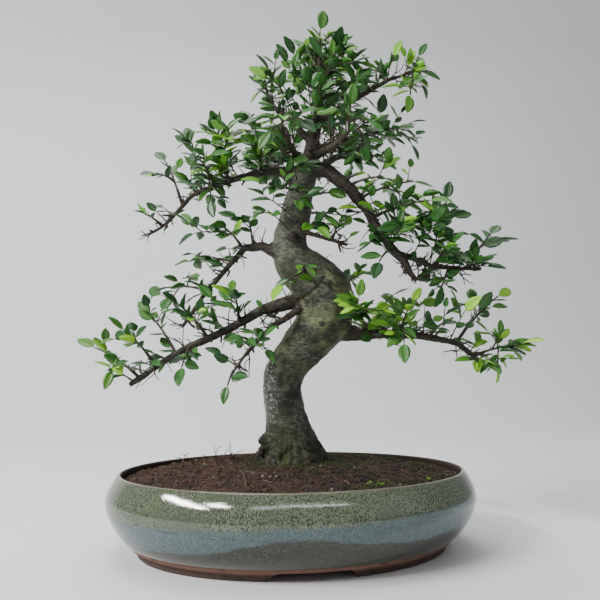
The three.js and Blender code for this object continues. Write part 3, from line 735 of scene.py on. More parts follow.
def scatter(draw, count, sizes, power, kinds):
    """Copies of crumbs all over the soil, most of them small, each with its tone and its share of moss."""
    copies = []
    for _ in range(count):
        x, y = soil_spot(draw)
        size = sizes[0] + (sizes[1] - sizes[0]) * draw.random() ** power
        stretch = Matrix.Diagonal((draw.uniform(0.8, 1.7), 1, draw.uniform(0.6, 1), 1))
        place = Matrix.Translation(soil_point(x, y) + UP * 0.35 * size * MM)
        matrix = place @ random_turn(draw) @ stretch @ Matrix.Scale(size * MM, 4)
        copies.append((draw.randrange(kinds), matrix, draw.random(), min(1, max(0, moss_cover(x, y)))))
    return copies


crumb_shapes = [crumb_shape(seed) for seed in (3, 8, 15, 21)]
soil_crumbs = stamp("soil_crumbs", crumb_shapes, scatter(draw, CRUMB_COUNT, CRUMB_SIZES, 4, 4))

bpy.ops.mesh.primitive_cone_add(vertices=4, radius1=0.95, depth=1.4)
grain_shape = shape_arrays(bpy.context.object)
soil_grains = stamp("soil_grains", [grain_shape], scatter(draw, GRAIN_COUNT, GRAIN_SIZES, 2, 1))
print("Crumbs", triangle_count(soil_crumbs), "and grains", triangle_count(soil_grains), "triangles")

# %% [markdown]
# Dead roots lie all over the compost as short bent wires, and on the left tangles of them stand up out of
# it. A few pale straws lie among them, and one near the front stands up and bends over. They are all
# curves with a round bevel, turned into meshes. Moss is a crowd of tiny blades, each a cone with three
# sides.


# %% Dead roots and moss
ROOTLET_COUNT = 1700
ROOTLET_RADIUS = 0.16
ROOTLET_STEPS = 5
WIRY_ROOTS = [(-108, 34), (-98, 44), (-88, 36), (-78, 46), (-68, 40), (-60, 50)]
WIRES_AT_EACH, WIRE_STEPS = 7, 9
WIRE_RADIUS, WIRE_TAPER = 0.7, 0.045
STRAW_COUNT, STRAW_RADIUS = 40, 0.2
STRAW_FOOT = (-57, -98)
STRAW_BENDS = [(0, 0, -2), (-1, 0, 5), (-2, 0, 9), (-4, 1, 13), (-6, 1, 15)]
MOSS_BLADES = 9000
MOSS_WIDTH, MOSS_HEIGHT = 0.45, 3.4


def rootlet(draw):
    x, y = soil_spot(draw)
    heading = draw.uniform(0, math.tau)
    strand = []
    lift = draw.uniform(0.1, 1.0)
    for i in range(ROOTLET_STEPS):
        arch = math.sin(math.pi * i / (ROOTLET_STEPS - 1))
        place = soil_point(x, y) + UP * (0.5 + lift * arch * 1.6) * MM
        strand.append((place, ROOTLET_RADIUS * draw.uniform(0.6, 1.2)))
        heading += draw.uniform(-0.7, 0.7)
        pace = draw.uniform(2, 4.5)
        x, y = x + pace * math.cos(heading), y + pace * math.sin(heading)
        if math.hypot(x / (HALF_LENGTH - SOIL_MARGIN), y / (HALF_WIDTH - SOIL_MARGIN)) > 1:
            break
    return strand


def wiry_root(draw, x, y):
    """A dead root that comes out of the soil, wanders through the air and sometimes dips back."""
    place = soil_point(x + draw.uniform(-9, 9), y + draw.uniform(-7, 7)) - UP * MM
    heading = Vector((draw.gauss(0, 0.8), draw.gauss(0, 0.8), draw.uniform(0.5, 1.2))).normalized()
    strand = []
    for i in range(WIRE_STEPS):
        strand.append((place, WIRE_RADIUS - WIRE_TAPER * i))
        bend = Vector((draw.gauss(0, 0.42), draw.gauss(0, 0.42), draw.gauss(-0.14, 0.25)))
        heading = (heading + bend).normalized()
        place = place + heading * draw.uniform(1.9, 3.8) * MM
    return strand


def blade_size(share):
    """The size of a blade of moss that has that share of its full height."""
    return Matrix.Diagonal((MOSS_WIDTH * MM, MOSS_WIDTH * MM, MOSS_HEIGHT * share * MM, 1))


strands = [strand for strand in (rootlet(draw) for _ in range(ROOTLET_COUNT)) if len(strand) > 2]
wire_draw = random.Random(8)
strands += [wiry_root(wire_draw, x, y) for x, y in WIRY_ROOTS for _ in range(WIRES_AT_EACH)]
soil_rootlets = tubes("soil_rootlets", strands, 4)

straws = []
while len(straws) < STRAW_COUNT:
    strand = rootlet(draw)
    if len(strand) > 2 and strand[0][0].x < MIDDLE.x + 40 * MM:
        straws.append([(place, STRAW_RADIUS) for place, _ in strand[:draw.randint(3, 5)]])
straw_foot = soil_point(*STRAW_FOOT)
straws.append([(straw_foot + Vector(bend) * MM, 0.5 - 0.05 * i) for i, bend in enumerate(STRAW_BENDS)])
soil_straws = tubes("soil_straws", straws, 4)

bpy.ops.mesh.primitive_cone_add(vertices=3, radius1=0.5, depth=1, location=(0, 0, 0.5))
bpy.ops.object.transform_apply(location=True)
moss_shape = shape_arrays(bpy.context.object)
blades = []
while len(blades) < MOSS_BLADES:
    x, y = soil_spot(draw)
    if moss_cover(x, y) < draw.uniform(0.25, 1.1):
        continue
    lean = Matrix.Rotation(draw.uniform(0, 0.7), 4, "X")
    turn = Matrix.Rotation(draw.uniform(0, math.tau), 4, "Z")
    matrix = Matrix.Translation(soil_point(x, y)) @ turn @ lean @ blade_size(draw.uniform(0.5, 1))
    blades.append((0, matrix, draw.random(), 0))
soil_moss = stamp("soil_moss", [moss_shape], blades)
print("Dead roots", triangle_count(soil_rootlets), "and moss", triangle_count(soil_moss), "triangles")

# %% [markdown]
# Compost is nearly black where it is damp, red brown where fibres catch the light, and here and there a
# crumb is pale. The crumbs take their colour from the tone that was written for each, and turn green
# where moss has a hold. The right side is painted darker, as painted shade. Dead roots are red brown, and
# straws pale.

# %% Soil, rootlet, straw and moss finishes
compost, compost_shader = new_material("compost", Roughness=0.92)
soil_place = object_place(compost)
soil_tone = attribute(compost, "tone")
soil_grain = spots(compost, soil_place, 0.5, 5.0, 0.7)
soil_patch = spots(compost, soil_place, 0.035, 3.0)
soil_clumps = spots(compost, soil_place, 0.15, 3.0, 0.6)
dark_peat = blend(compost, soil_grain, (0.008, 0.005, 0.004), (0.060, 0.030, 0.021))
red_peat = blend(compost, soil_grain, (0.024, 0.011, 0.008), (0.125, 0.056, 0.035))
peat = blend(compost, step(compost, soil_tone, 0.25, 0.95), dark_peat, red_peat)
peat = blend(compost, step(compost, soil_patch, 0.5, 0.75), peat, dark_peat)
peat = tint(compost, peat, step(compost, soil_clumps, 0.46, 0.60), 0.7, dark_peat)
green_share = step(compost, attribute(compost, "youth"), 0.35, 1.0)
peat = tint(compost, peat, green_share, 0.75, (0.030, 0.042, 0.012))
red_patch = step(compost, spots(compost, soil_place, 0.05, 4.0, 0.7), 0.48, 0.62)
peat = tint(compost, peat, red_patch, 0.45, (0.105, 0.050, 0.030))
# The right of the soil is painted darker: painted shade.
painted_shade_right = step(compost, axis_of(compost, soil_place, 0), -70, 50)
peat = tint(compost, peat, painted_shade_right, 0.8, (0.012, 0.010, 0.008))
pale_fleck = step(compost, soil_tone, 0.987, 0.99)
peat = blend(compost, pale_fleck, peat, (0.20, 0.17, 0.13))
paint(compost, compost_shader, peat)
raise_surface(compost, compost_shader, soil_grain, 0.5)

fibre = mottled("dead_root", 0.8, (0.09, 2.0), (0.35, 0.7), (0.032, 0.016, 0.010), (0.17, 0.088, 0.052), 1.5)

straw, straw_shader = new_material("dry_straw", Roughness=0.7)
straw_tone = spots(straw, object_place(straw), 0.12, 3.0)
paint(straw, straw_shader, blend(straw, straw_tone, (0.11, 0.080, 0.050), (0.36, 0.30, 0.21)))
raise_surface(straw, straw_shader, spots(straw, object_place(straw), 1.5), 0.1)

moss, moss_shader = new_material("moss", Roughness=0.8)
moss_tone = attribute(moss, "tone")
moss_patch = spots(moss, object_place(moss), 0.08, 2.0)
moss_colour = blend(moss, moss_tone, (0.009, 0.020, 0.004), (0.045, 0.078, 0.014))
moss_colour = blend(moss, step(moss, moss_patch, 0.55, 0.75), moss_colour, (0.070, 0.078, 0.020))
paint(moss, moss_shader, moss_colour)

only(soil)
bpy.ops.object.shade_smooth()
soil.data.materials.append(compost)
settle(soil, "soil_body", "soil", "soil")
for piece, finish in ((soil_crumbs, compost), (soil_grains, compost), (soil_rootlets, fibre),
                      (soil_straws, straw), (soil_moss, moss)):
    piece.data.materials.append(finish)
    settle(piece, piece.name, "soil")
print("Soil done")

# %% [markdown]
# ## The wood
#
# Trunk, limbs and branchlets grew as one. Their lines are the same ones as in the construction model.
# Their points were picked in the picture, with a guess at how near each is, and turned into millimetres
# through the camera's place. Each point of the trunk and of a limb is x, y, z and radius, in millimetres,
# and each limb lists the shoots that it carries, with where the shoot leaves the limb and the tips that
# it reaches. Each surface root is an angle and how far it swells out of the foot. `YOUNG` names the
# sprays that are in new growth.

# %% Lines of the tree
TRUNK = [
    (-1, 15, 84, 36), (-2, 15, 95, 31), (-6, 16, 114, 25.5), (-9, 17, 132, 22.3), (-12, 18, 153, 21.3),
    (-11, 17, 171, 21.6), (-3, 15, 188, 22.3), (10, 12, 204, 24), (25, 9, 222, 27.5), (36, 7, 242, 30),
    (34, 6, 261, 30), (19, 6, 279, 27.5), (4, 7, 294, 24), (-3, 8, 310, 19.9), (-3, 9, 327, 17.8),
    (2, 10, 346, 17), (6, 10, 366, 15.6), (11, 8, 382, 13.5),
]
ROOTS = [(178, 0.14), (232, 0.1), (300, 0.08), (352, 0.12), (62, 0.12), (122, 0.1)]
FOOT_DEPTH = 13
LIMBS = {
    "leader": {
        "path": [(8, 9, 372, 14), (20, 4, 418, 8.5), (28, 0, 455, 5.8), (32, 2, 495, 4), (30, 0, 534, 2.3)],
        "shoots": [
            (0.45, [(30, -70, 478)]),
            (0.58, [(8, 50, 544), (62, 60, 544)]),
            (0.7, [(55, -12, 546), (62, -50, 500)]),
            (0.82, [(4, 12, 556)]),
            (1, [(31, 0, 587)]),
        ],
    },
    "crown_left": {
        "path": [(22, 3, 428, 4.4), (-3, 6, 456, 3.2), (-28, 10, 480, 2.3)],
        "shoots": [
            (0.5, [(-31, -45, 436), (-8, -40, 479)]),
            (0.62, [(-31, 65, 497)]),
            (1, [(-34, 5, 522), (-51, -5, 483), (-13, -20, 513)]),
        ],
    },
    "crown_right": {
        "path": [(28, 0, 451, 4.4), (65, -4, 473, 3.2), (107, -6, 497, 2.5), (125, -8, 502, 2)],
        "shoots": [
            (0.35, [(61, -60, 472)]),
            (0.55, [(96, 35, 539)]),
            (1, [(158, -10, 510), (154, 10, 482), (120, -40, 452)]),
        ],
    },
    "crown_low_right": {
        "path": [(21, 4, 418, 4.4), (63, 10, 436, 3.2), (100, 16, 446, 2.3)],
        "shoots": [
            (0.5, [(90, -45, 444), (78, -40, 397)]),
            (1, [(145, 40, 458), (140, -8, 414)]),
        ],
    },
    "crown_front_left": {
        "path": [(13, 4, 396, 5.2), (-1, -45, 406, 3.4), (-10, -78, 410, 2.1)],
        "shoots": [
            (1, [(-6, -130, 417), (-36, -95, 395), (24, -120, 409)]),
        ],
    },
    "crown_front_right": {
        "path": [(16, 2, 409, 5.2), (43, -45, 408, 3.4), (56, -78, 412, 2.1)],
        "shoots": [
            (1, [(53, -130, 421), (89, -110, 410), (81, -80, 390)]),
        ],
    },
    "upper_left": {
        "path": [
            (8, 8, 397, 7.2), (-23, 12, 399, 5), (-78, 20, 389, 3.7), (-114, 26, 376, 3),
            (-142, 32, 347, 2.5), (-166, 34, 332, 2.2),
        ],
        "shoots": [
            (0.25, [(-32, -25, 438), (-58, 45, 486)]),
            (0.38, [(-85, -15, 457), (-64, -50, 426)]),
            (0.46, [(-101, -45, 406), (-85, -20, 343)]),
            (0.54, [(-123, 45, 464)]),
            (0.68, [(-156, 48, 439), (-163, -5, 400)]),
            (0.86, [(-180, 10, 362)]),
        ],
    },
    "middle_left": {
        "path": [
            (-10, 4, 302, 7.4), (-34, 6, 314, 5), (-53, 10, 313, 4), (-71, 18, 295, 3.3),
            (-97, 28, 268, 2.7), (-126, 38, 227, 2.2),
        ],
        "shoots": [
            (0.3, [(-54, 40, 365)]),
            (0.42, [(-83, -22, 342), (-72, -50, 315), (-127, 10, 330)]),
            (0.56, [(-138, 60, 306)]),
            (0.8, [(-169, 58, 275), (-105, -5, 289), (-158, 74, 238)]),
        ],
    },
    "lower_left": {
        "path": [
            (18, 4, 258, 9), (-34, -6, 243, 5.4), (-67, -12, 223, 4.6), (-103, -20, 206, 4),
            (-137, -26, 186, 3.5), (-166, -30, 165, 3),
        ],
        "shoots": [
            (0.34, [(-58, -50, 264), (-104, 15, 252)]),
            (0.52, [(-123, -60, 257), (-99, -72, 232)]),
            (0.62, [(-111, -66, 172)]),
            (0.7, [(-165, 5, 254)]),
            (0.82, [(-179, -55, 234), (-158, -78, 209)]),
            (0.93, [(-221, -18, 214), (-188, -50, 168)]),
        ],
    },
    "front_left": {
        "path": [(16, -2, 250, 4.2), (-25, -22, 222, 2.7), (-48, -38, 195, 2.1), (-59, -45, 179, 1.9)],
        "shoots": [
            (0.55, [(-57, -82, 216), (-12, -72, 193)]),
            (1, [(-69, -68, 150)]),
        ],
    },
    "lower_right": {
        "path": [
            (45, 8, 222, 11), (68, 2, 217, 6.6), (94, -8, 217, 4.8), (129, -16, 215, 4),
            (167, -24, 207, 3.3), (189, -30, 186, 2.3),
        ],
        "shoots": [
            (0.26, [(60, -48, 262), (80, -66, 238)]),
            (0.4, [(104, 25, 270), (157, 15, 256)]),
            (0.5, [(115, -60, 247), (108, -62, 192)]),
            (0.66, [(152, -76, 231)]),
            (0.8, [(232, 5, 270), (205, 24, 240)]),
            (0.94, [(249, -18, 207), (216, -46, 224), (200, -50, 166)]),
        ],
    },
    "upper_right": {
        "path": [
            (14, 6, 401, 8.8), (40, -4, 393, 7.6), (60, -12, 373, 6.6), (78, -22, 347, 5.8),
            (99, -34, 306, 4.9), (113, -38, 290, 4), (125, -40, 269, 2.7),
        ],
        "shoots": [
            (0.32, [(107, -50, 379)]),
            (0.42, [(148, -8, 387), (131, 14, 368)]),
            (0.54, [(152, -72, 349)]),
            (0.62, [(186, -20, 344)]),
            (0.7, [(76, -82, 276)]),
        ],
    },
    "upper_right_fork": {
        "path": [(107, -36, 298, 3.4), (143, -30, 285, 2.8), (181, -20, 284, 2.2), (198, -16, 284, 1.9)],
        "shoots": [
            (0.35, [(156, -84, 305)]),
            (0.5, [(143, -45, 247)]),
            (0.7, [(226, 14, 340), (200, -62, 306)]),
        ],
    },
    "right_stub": {
        "path": [(4, 0, 330, 3), (30, -12, 320, 2.4), (58, -18, 310, 2)],
        "shoots": [
            (0.7, [(54, -48, 342)]),
        ],
    },
    "trunk_front": {
        "path": [(12, -10, 278, 3.2), (12, -28, 282, 2)],
        "shoots": [
            (1, [(4, -62, 290), (26, -62, 276)]),
        ],
    },
    "back_left": {
        "path": [(10, 14, 376, 6.4), (-16, 60, 413, 4.4), (-36, 98, 434, 2.9)],
        "shoots": [
            (0.65, [(8, 112, 470), (-87, 110, 440)]),
            (1, [(-53, 160, 474), (-12, 150, 423)]),
        ],
    },
    "back_right": {
        "path": [(12, 12, 391, 6.4), (49, 60, 430, 4.4), (80, 98, 450, 2.9)],
        "shoots": [
            (0.65, [(46, 112, 498), (127, 105, 432)]),
            (1, [(105, 160, 501), (67, 152, 429)]),
        ],
    },
    "back_low": {
        "path": [(35, 25, 257, 7.6), (48, 70, 273, 5), (56, 108, 276, 3.1)],
        "shoots": [
            (0.65, [(100, 104, 306), (4, 120, 262)]),
            (1, [(76, 168, 305), (44, 156, 240)]),
        ],
    },
}
YOUNG = {
    "crown_right_3", "upper_left_2", "lower_left_6", "lower_right_1", "lower_right_2", "lower_right_3",
    "lower_right_6", "upper_right_1", "upper_right_2", "upper_right_3", "right_stub_1", "trunk_front_1",
}
print(len(LIMBS), "limbs,", sum(len(limb["shoots"]) for limb in LIMBS.values()), "shoots")

# %% [markdown]
# A shoot runs from its limb towards a tip in a gentle arch, and stops where its last leaf begins. The
# inner third is wood already, and the rest is the stem of a leafy spray. A side stem leaves the main one
# a little past the wood. A line is three points of a curve, and `along` gives the place and the heading
# at any share of it.

# %% Shoots
WOOD_SHARE = 0.3
SIDE_STEM_STEP = 0.14
LEAF_LENGTH = 23
LAST_LEAF = 0.85 * LEAF_LENGTH
LINE_PIECES = 8
SHOOT_ARCH = 0.09


def tree_point(point):
    return TREE_FRAME @ Vector(point[:3])


def point_on(path, share):
    place = share * (len(path) - 1)
    index = min(int(place), len(path) - 2)
    return tree_point(path[index]).lerp(tree_point(path[index + 1]), place - index)


def shoot_line(root, tip):
    reach = tip - root
    end = root + reach * (1 - LAST_LEAF * MM / reach.length)
    middle = root.lerp(end, 0.5) + UP * SHOOT_ARCH * reach.length
    return root, middle, end


def along(line, share):
    root, middle, end = line
    place = root * (1 - share) ** 2 + middle * 2 * share * (1 - share) + end * share ** 2
    heading = (middle - root) * (1 - share) + (end - middle) * share
    return place, heading.normalized()


def line_length(line):
    places = [along(line, i / LINE_PIECES)[0] for i in range(LINE_PIECES + 1)]
    return sum((before - after).length for before, after in zip(places, places[1:]))


sprays = {}
for limb_name, limb in LIMBS.items():
    for number, (share, tips) in enumerate(limb["shoots"], 1):
        main = shoot_line(point_on(limb["path"], share), tree_point(tips[0]))
        sides = [
            shoot_line(along(main, WOOD_SHARE + SIDE_STEM_STEP * (i + 1))[0], tree_point(tip))
            for i, tip in enumerate(tips[1:])
        ]
        sprays[f"{limb_name}_{number}"] = {"main": main, "sides": sides, "extra": []}
print(len(sprays), "sprays,", sum(1 + len(spray["sides"]) for spray in sprays.values()), "stems")

# %% [markdown]
# A branching form is hard to extrude by hand, so each limb is drawn as a tube along its line, and a voxel
# remesh melts them into one skin, as wood grows over the foot of a branch. The trunk's line is smoothed
# first, with a curve through its points. Surface roots are short thick tubes that dive into the soil, and
# old stubs stand out of the foot and the bends.


# %% Skeleton of the wood
def smooth_path(path, steps):
    """More points on a path of x, y, z and radius, on a curve that passes through the given ones."""
    rows = [Vector(row) for row in path]
    rows = [rows[0] * 2 - rows[1]] + rows + [rows[-1] * 2 - rows[-2]]
    result = []
    for a, b, c, d in zip(rows, rows[1:], rows[2:], rows[3:]):
        for i in range(steps):
            t = i / steps
            result.append(0.5 * (2 * b + (c - a) * t + (2 * a - 5 * b + 4 * c - d) * t ** 2
                                 + (3 * b - a - 3 * c + d) * t ** 3))
    return result + [rows[-2]]


OLD_STUBS = [
    [(-16, 10, 110, 8), (-27, 6, 106, 5.5), (-35, 4, 107, 3.2)],
    [(-20, 8, 98, 9), (-31, 3, 97, 5.5), (-37, 0, 92, 4.5)],
    [(20, -2, 230, 9), (33, -20, 228, 5)],
    [(2, -4, 316, 8), (-2, -12, 322, 4.5)],
]


def root_path(angle, swell):
    foot_x, foot_y, _, foot_radius = TRUNK[0]
    direction = Vector((math.cos(math.radians(angle)), math.sin(math.radians(angle)), 0))
    axis = Vector((foot_x, foot_y, 0))
    reach = foot_radius * (1 + swell)
    rows = [(9, 116, 10), (18, 103, 10), (reach - 15, 93, 9.5), (reach - 7, 84, 8.5), (reach - 3, 74, 8)]
    places = [(axis + direction * out + UP * height, radius) for out, height, radius in rows]
    return [Vector((*place, radius)) for place, radius in places]


def knotty(path, draw):
    """A limb's path with a point added in each stretch, where it swells or bends a little."""
    rows = [Vector(row) for row in path]
    result = [rows[0]]
    for before, after in zip(rows, rows[1:]):
        middle = before.lerp(after, draw.uniform(0.35, 0.65))
        bend = Vector([draw.uniform(-1.2, 1.2) for _ in range(3)] + [0])
        middle += bend
        middle[3] *= draw.uniform(0.94, 1.16)
        result += [middle, after]
    return result


def strand_of(rows):
    return [(tree_point(row), row[3]) for row in rows]


draw = random.Random(5)
foot = Vector((*TRUNK[0][:2], TRUNK[0][2] - FOOT_DEPTH, TRUNK[0][3]))
skeleton = [strand_of([foot] + smooth_path(TRUNK, 4))]
skeleton += [strand_of(root_path(angle, swell)) for angle, swell in ROOTS]
skeleton += [strand_of(knotty(limb["path"], draw)) for limb in LIMBS.values()]
skeleton += [strand_of([Vector(row) for row in stub]) for stub in OLD_STUBS]
print(len(skeleton), "strands of wood")

# %% [markdown]
# The remesh cuts the skin into small even squares. Five rounds of smoothing take the stairs out of it.

# %% Skin of the wood
VOXEL = 1.6
wood = tubes("wood", skeleton, 16)
apply_modifier(wood, "REMESH", mode="VOXEL", voxel_size=VOXEL * MM)
apply_modifier(wood, "SMOOTH", factor=0.5, iterations=5)
print("Skin of the wood,", triangle_count(wood), "triangles")

# %% [markdown]
# Now the bark. Every corner of the skin looks up the part of the skeleton whose surface it lies on, which
# says how thick the wood is there. Thick wood gets slow swellings and fine cross wrinkles, and thin wood
# only a little of both. Upright folds run down the foot into the roots, and a gnarl stands out on its
# left. A deep crease crosses the front of the elbow, where an old limb closed over, and four healed cuts
# stand proud.


# %% Bark relief
CREASE = [(33, 276), (25, 266), (16, 257), (6, 254)]
CREASE_DEPTH, CREASE_WIDTH = 3.6, 2.0
FULL_BARK_RADIUS, THIN_WOOD_RADIUS = 22, 10
FLARE_LEVEL, FLARE_HEIGHT = 82, 34
THICKEST_GIRTH = 30
PLACES_PER_STRETCH = 4
GNARL, GNARL_REACH = (-32, 5, 98), 16
SCARS = [((-1, -14, 300), 7, 2.2), ((38, -22, 228), 9, 1.8), ((-24, 4, 190), 6, 1.5), ((-26, 8, 104), 9, 4.5)]

places, radii = [], []
for strand in skeleton:
    for (start, start_radius), (end, end_radius) in zip(strand, strand[1:]):
        for i in range(PLACES_PER_STRETCH):
            places.append(start.lerp(end, i / PLACES_PER_STRETCH))
            radii.append(start_radius + (end_radius - start_radius) * i / PLACES_PER_STRETCH)
places, radii = np.array(places), np.array(radii)


def wood_radii(corners):
    """For each corner, how thick the wood is whose surface it lies nearest to."""
    result = []
    for part in np.array_split(corners, 40):
        gaps = np.linalg.norm(part[:, None] - places[None], axis=2) / MM - radii
        result.append(radii[gaps.argmin(axis=1)])
    return np.concatenate(result)


def crease_depth(point):
    """How deep the crease is at a point of the tree, in millimetres."""
    if point.y > 0:
        return 0
    gaps = []
    for (x1, z1), (x2, z2) in zip(CREASE, CREASE[1:]):
        run = Vector((x2 - x1, z2 - z1))
        off = Vector((point.x - x1, point.z - z1))
        share = min(1, max(0, off.dot(run) / run.length_squared))
        gaps.append((off - run * share).length)
    return CREASE_DEPTH * math.exp(-((min(gaps) / CREASE_WIDTH) ** 2))


def bark_height(point, radius):
    """How far the bark stands out of the smooth skin, in millimetres."""
    size = min(1, radius / FULL_BARK_RADIUS)
    swelling = 1.6 * size * noise.noise(point / 26) + 1.1 * size * noise.noise(point / 9)
    flat = Vector((point.x / 11, point.y / 11, point.z / 3.2))
    wrinkle = 0.42 * size * noise.noise(flat) + 0.22 * noise.noise(point / 2.6)
    knots = 0.5 * noise.noise(point / 6) if radius < THIN_WOOD_RADIUS else 0
    low = max(0, 1 - (point.z - FLARE_LEVEL) / FLARE_HEIGHT)
    knots += low * (1.3 * noise.noise(point / 7) + 0.8 * abs(noise.noise(point / 3.2)))
    upright = Vector((point.x / 6, point.y / 6, point.z / 26))
    knots -= min(1, 2 * low) * 2.6 * max(0, 1 - 5 * abs(noise.noise(upright)))
    gnarl = math.exp(-(((point - Vector(GNARL)).length / GNARL_REACH) ** 2))
    knots += gnarl * (4.5 * noise.noise(point / 4.5) + 2.5 * noise.noise(point / 2.2))
    scar = 0
    for place, width, rise in SCARS:
        scar += rise * math.exp(-((point - Vector(place)).length / width) ** 2)
    return swelling + wrinkle + knots + scar - crease_depth(point)


to_tree = TREE_FRAME.inverted()
corners = np.array([vertex.co for vertex in wood.data.vertices])
girths = wood_radii(corners)
moves = []
for vertex, radius in zip(wood.data.vertices, girths):
    moves.append(vertex.normal * bark_height(to_tree @ vertex.co, radius) * MM)
for vertex, move in zip(wood.data.vertices, moves):
    vertex.co += move
girth = wood.data.attributes.new("girth", "FLOAT", "POINT")
girth.data.foreach_set("value", np.minimum(1, girths / THICKEST_GIRTH))
print("Bark relief up to", round(max(move.length for move in moves) / MM, 1), "mm")

# %% [markdown]
# Branchlets are too thin for the remesh, so they are tubes of their own, sunk into the limbs. First come
# the woody parts of the shoots. Then each limb gets stubs where twigs were clipped, and bare twigs that
# fork, as Chinese elms have so many of. All stay inside the construction model's box.


# %% Branchlets
STUB_SPACING = 16
TWIG_SPACING = 7
THICK_LIMB, THICK_LIMB_SPARSENESS = 7, 2.5
TWIGLESS_TOP = 70
BRANCHLET_GIRTH = 0.02
box_low, box_high = cad_box
BOX_MARGIN = 0.8 * MM


def is_inside(point):
    """Whether a place is in the box that the object may fill."""
    sides = zip(box_low, point, box_high)
    return all(low + BOX_MARGIN < value < high - BOX_MARGIN for low, value, high in sides)


def off_heading(heading, draw, spread):
    """A heading turned away from another one by an angle in the given range, to a random side."""
    side = heading.cross(Vector([draw.gauss(0, 1) for _ in range(3)])).normalized()
    angle = math.radians(draw.uniform(*spread))
    return heading * math.cos(angle) + side * math.sin(angle)


def twig(start, heading, length, radii, draw, steps=4):
    """A crooked twig, as a strand."""
    strand = [(start, radii[0])]
    place = start
    for i in range(1, steps + 1):
        heading = (heading + Vector([draw.gauss(0, 0.26) for _ in range(3)]) + UP * 0.05).normalized()
        place = place + heading * length * MM / steps
        if not is_inside(place):
            break
        strand.append((place, radii[0] + (radii[1] - radii[0]) * i / steps))
    return strand


branchlets, fine_twigs = [], []
for spray in sprays.values():
    shares = [WOOD_SHARE * i / 4 for i in range(5)]
    branchlets.append([(along(spray["main"], share)[0], 1.9 - 0.4 * share / WOOD_SHARE) for share in shares])
for limb in LIMBS.values():
    rows = limb["path"]
    for index, (before, after) in enumerate(zip(rows, rows[1:])):
        start, end = tree_point(before), tree_point(after)
        span = (end - start).length / MM
        is_thick = index == 0 and before[3] > THICK_LIMB
        twig_spacing = TWIG_SPACING * (THICK_LIMB_SPARSENESS if is_thick else 1)
        heading = (end - start).normalized()
        for _ in range(round(span / STUB_SPACING)):
            place = start.lerp(end, draw.random())
            way = off_heading(heading, draw, (50, 85))
            branchlets.append(twig(place, way, draw.uniform(6, 15), (1.5, 1.0), draw, 2))
        for _ in range(round(span / twig_spacing)):
            place = start.lerp(end, draw.random())
            if place.z > box_high.z - TWIGLESS_TOP * MM:
                continue
            way = (off_heading(heading, draw, (35, 70)) + UP * 0.35).normalized()
            grown = twig(place, way, draw.uniform(10, 38), (0.85, 0.4), draw, 6)
            fine_twigs.append(grown)
            if len(grown) > 3:
                fork = off_heading((grown[-1][0] - grown[-2][0]).normalized(), draw, (30, 60))
                fine_twigs.append(twig(grown[2][0], fork, draw.uniform(8, 22), (0.7, 0.45), draw, 3))
branchlet_mesh = tubes("branchlets", [strand for strand in branchlets if len(strand) > 1], 6)
fine_mesh = tubes("fine_twigs", [strand for strand in fine_twigs if len(strand) > 1], 4)
only(branchlet_mesh)
fine_mesh.select_set(True)
bpy.ops.object.join()
girth = branchlet_mesh.data.attributes.new("girth", "FLOAT", "POINT")
girth.data.foreach_set("value", [BRANCHLET_GIRTH] * len(branchlet_mesh.data.vertices))
print(len(branchlets), "branchlets,", len(fine_twigs), "twigs,", triangle_count(branchlet_mesh), "triangles")

# %% [markdown]
# The bark of a Chinese elm of this age is smooth and dark, olive grey on the trunk and red brown on the
# twigs. Pale green lichen grows on the elbow, and moss on the left of the foot, while the right of the foot
# near the soil is painted near black, as painted shade. The hollows are painted nearly black, as painted
# shade. The left side of the lower bend is damp, so it is glossier, and pale specks on it are painted
# highlights, its glints. The top of the trunk is painted paler, as painted light. The girth that was
# written into the mesh tells trunk from twig. The rest follows the place on the tree, so the pattern stays
# put from every side.

# %% Bark finish
PAINTED_SHADE_HOLLOWS = [((3, -12, 281), 11), ((38, -26, 214), 9), ((-2, -14, 262), 6)]
PAINTED_SHADE_EDGE = 10.0
bark, bark_shader = new_material("elm_bark", Roughness=0.55, Specular_IOR_Level=0.42)
bark_place = object_place(bark)
bark_girth = attribute(bark, "girth")
wrinkles = spots(bark, object_place(bark, (1, 1, 2.3)), 0.19, 8.0, 0.74)
bark_grain = spots(bark, bark_place, 0.6, 4.0, 0.65)
bark_cloud = spots(bark, bark_place, 0.055, 5.0, 0.65)
bark_x, bark_z = axis_of(bark, bark_place, 0), axis_of(bark, bark_place, 2)

trunk_colour = blend(bark, step(bark, wrinkles, 0.36, 0.68), (0.010, 0.011, 0.008), (0.130, 0.136, 0.098))
trunk_colour = blend(bark, step(bark, bark_cloud, 0.44, 0.58), trunk_colour, (0.018, 0.020, 0.012))
lichen = step(bark, spots(bark, bark_place, 0.05, 6.0, 0.7), 0.42, 0.62)
lichen = times(bark, lichen, times(bark, step(bark, bark_z, 150, 205), step(bark, bark_z, 315, 265)))
lichen = times(bark, lichen, step(bark, wrinkles, 0.3, 0.55))
trunk_colour = tint(bark, trunk_colour, lichen, 0.8, (0.150, 0.170, 0.070))
wet_and_glint_band = times(bark, step(bark, bark_z, 108, 135), step(bark, bark_z, 205, 185))
wet_and_glint_band = times(bark, wet_and_glint_band, step(bark, bark_x, -14, -24))
# Pale specks in the damp band are painted highlights: painted glints. The band also lowers the roughness.
painted_glints = times(bark, step(bark, spots(bark, bark_place, 0.36, 3.0, 0.6), 0.56, 0.61), wet_and_glint_band)
trunk_colour = tint(bark, trunk_colour, painted_glints, 0.75, (0.40, 0.42, 0.40))
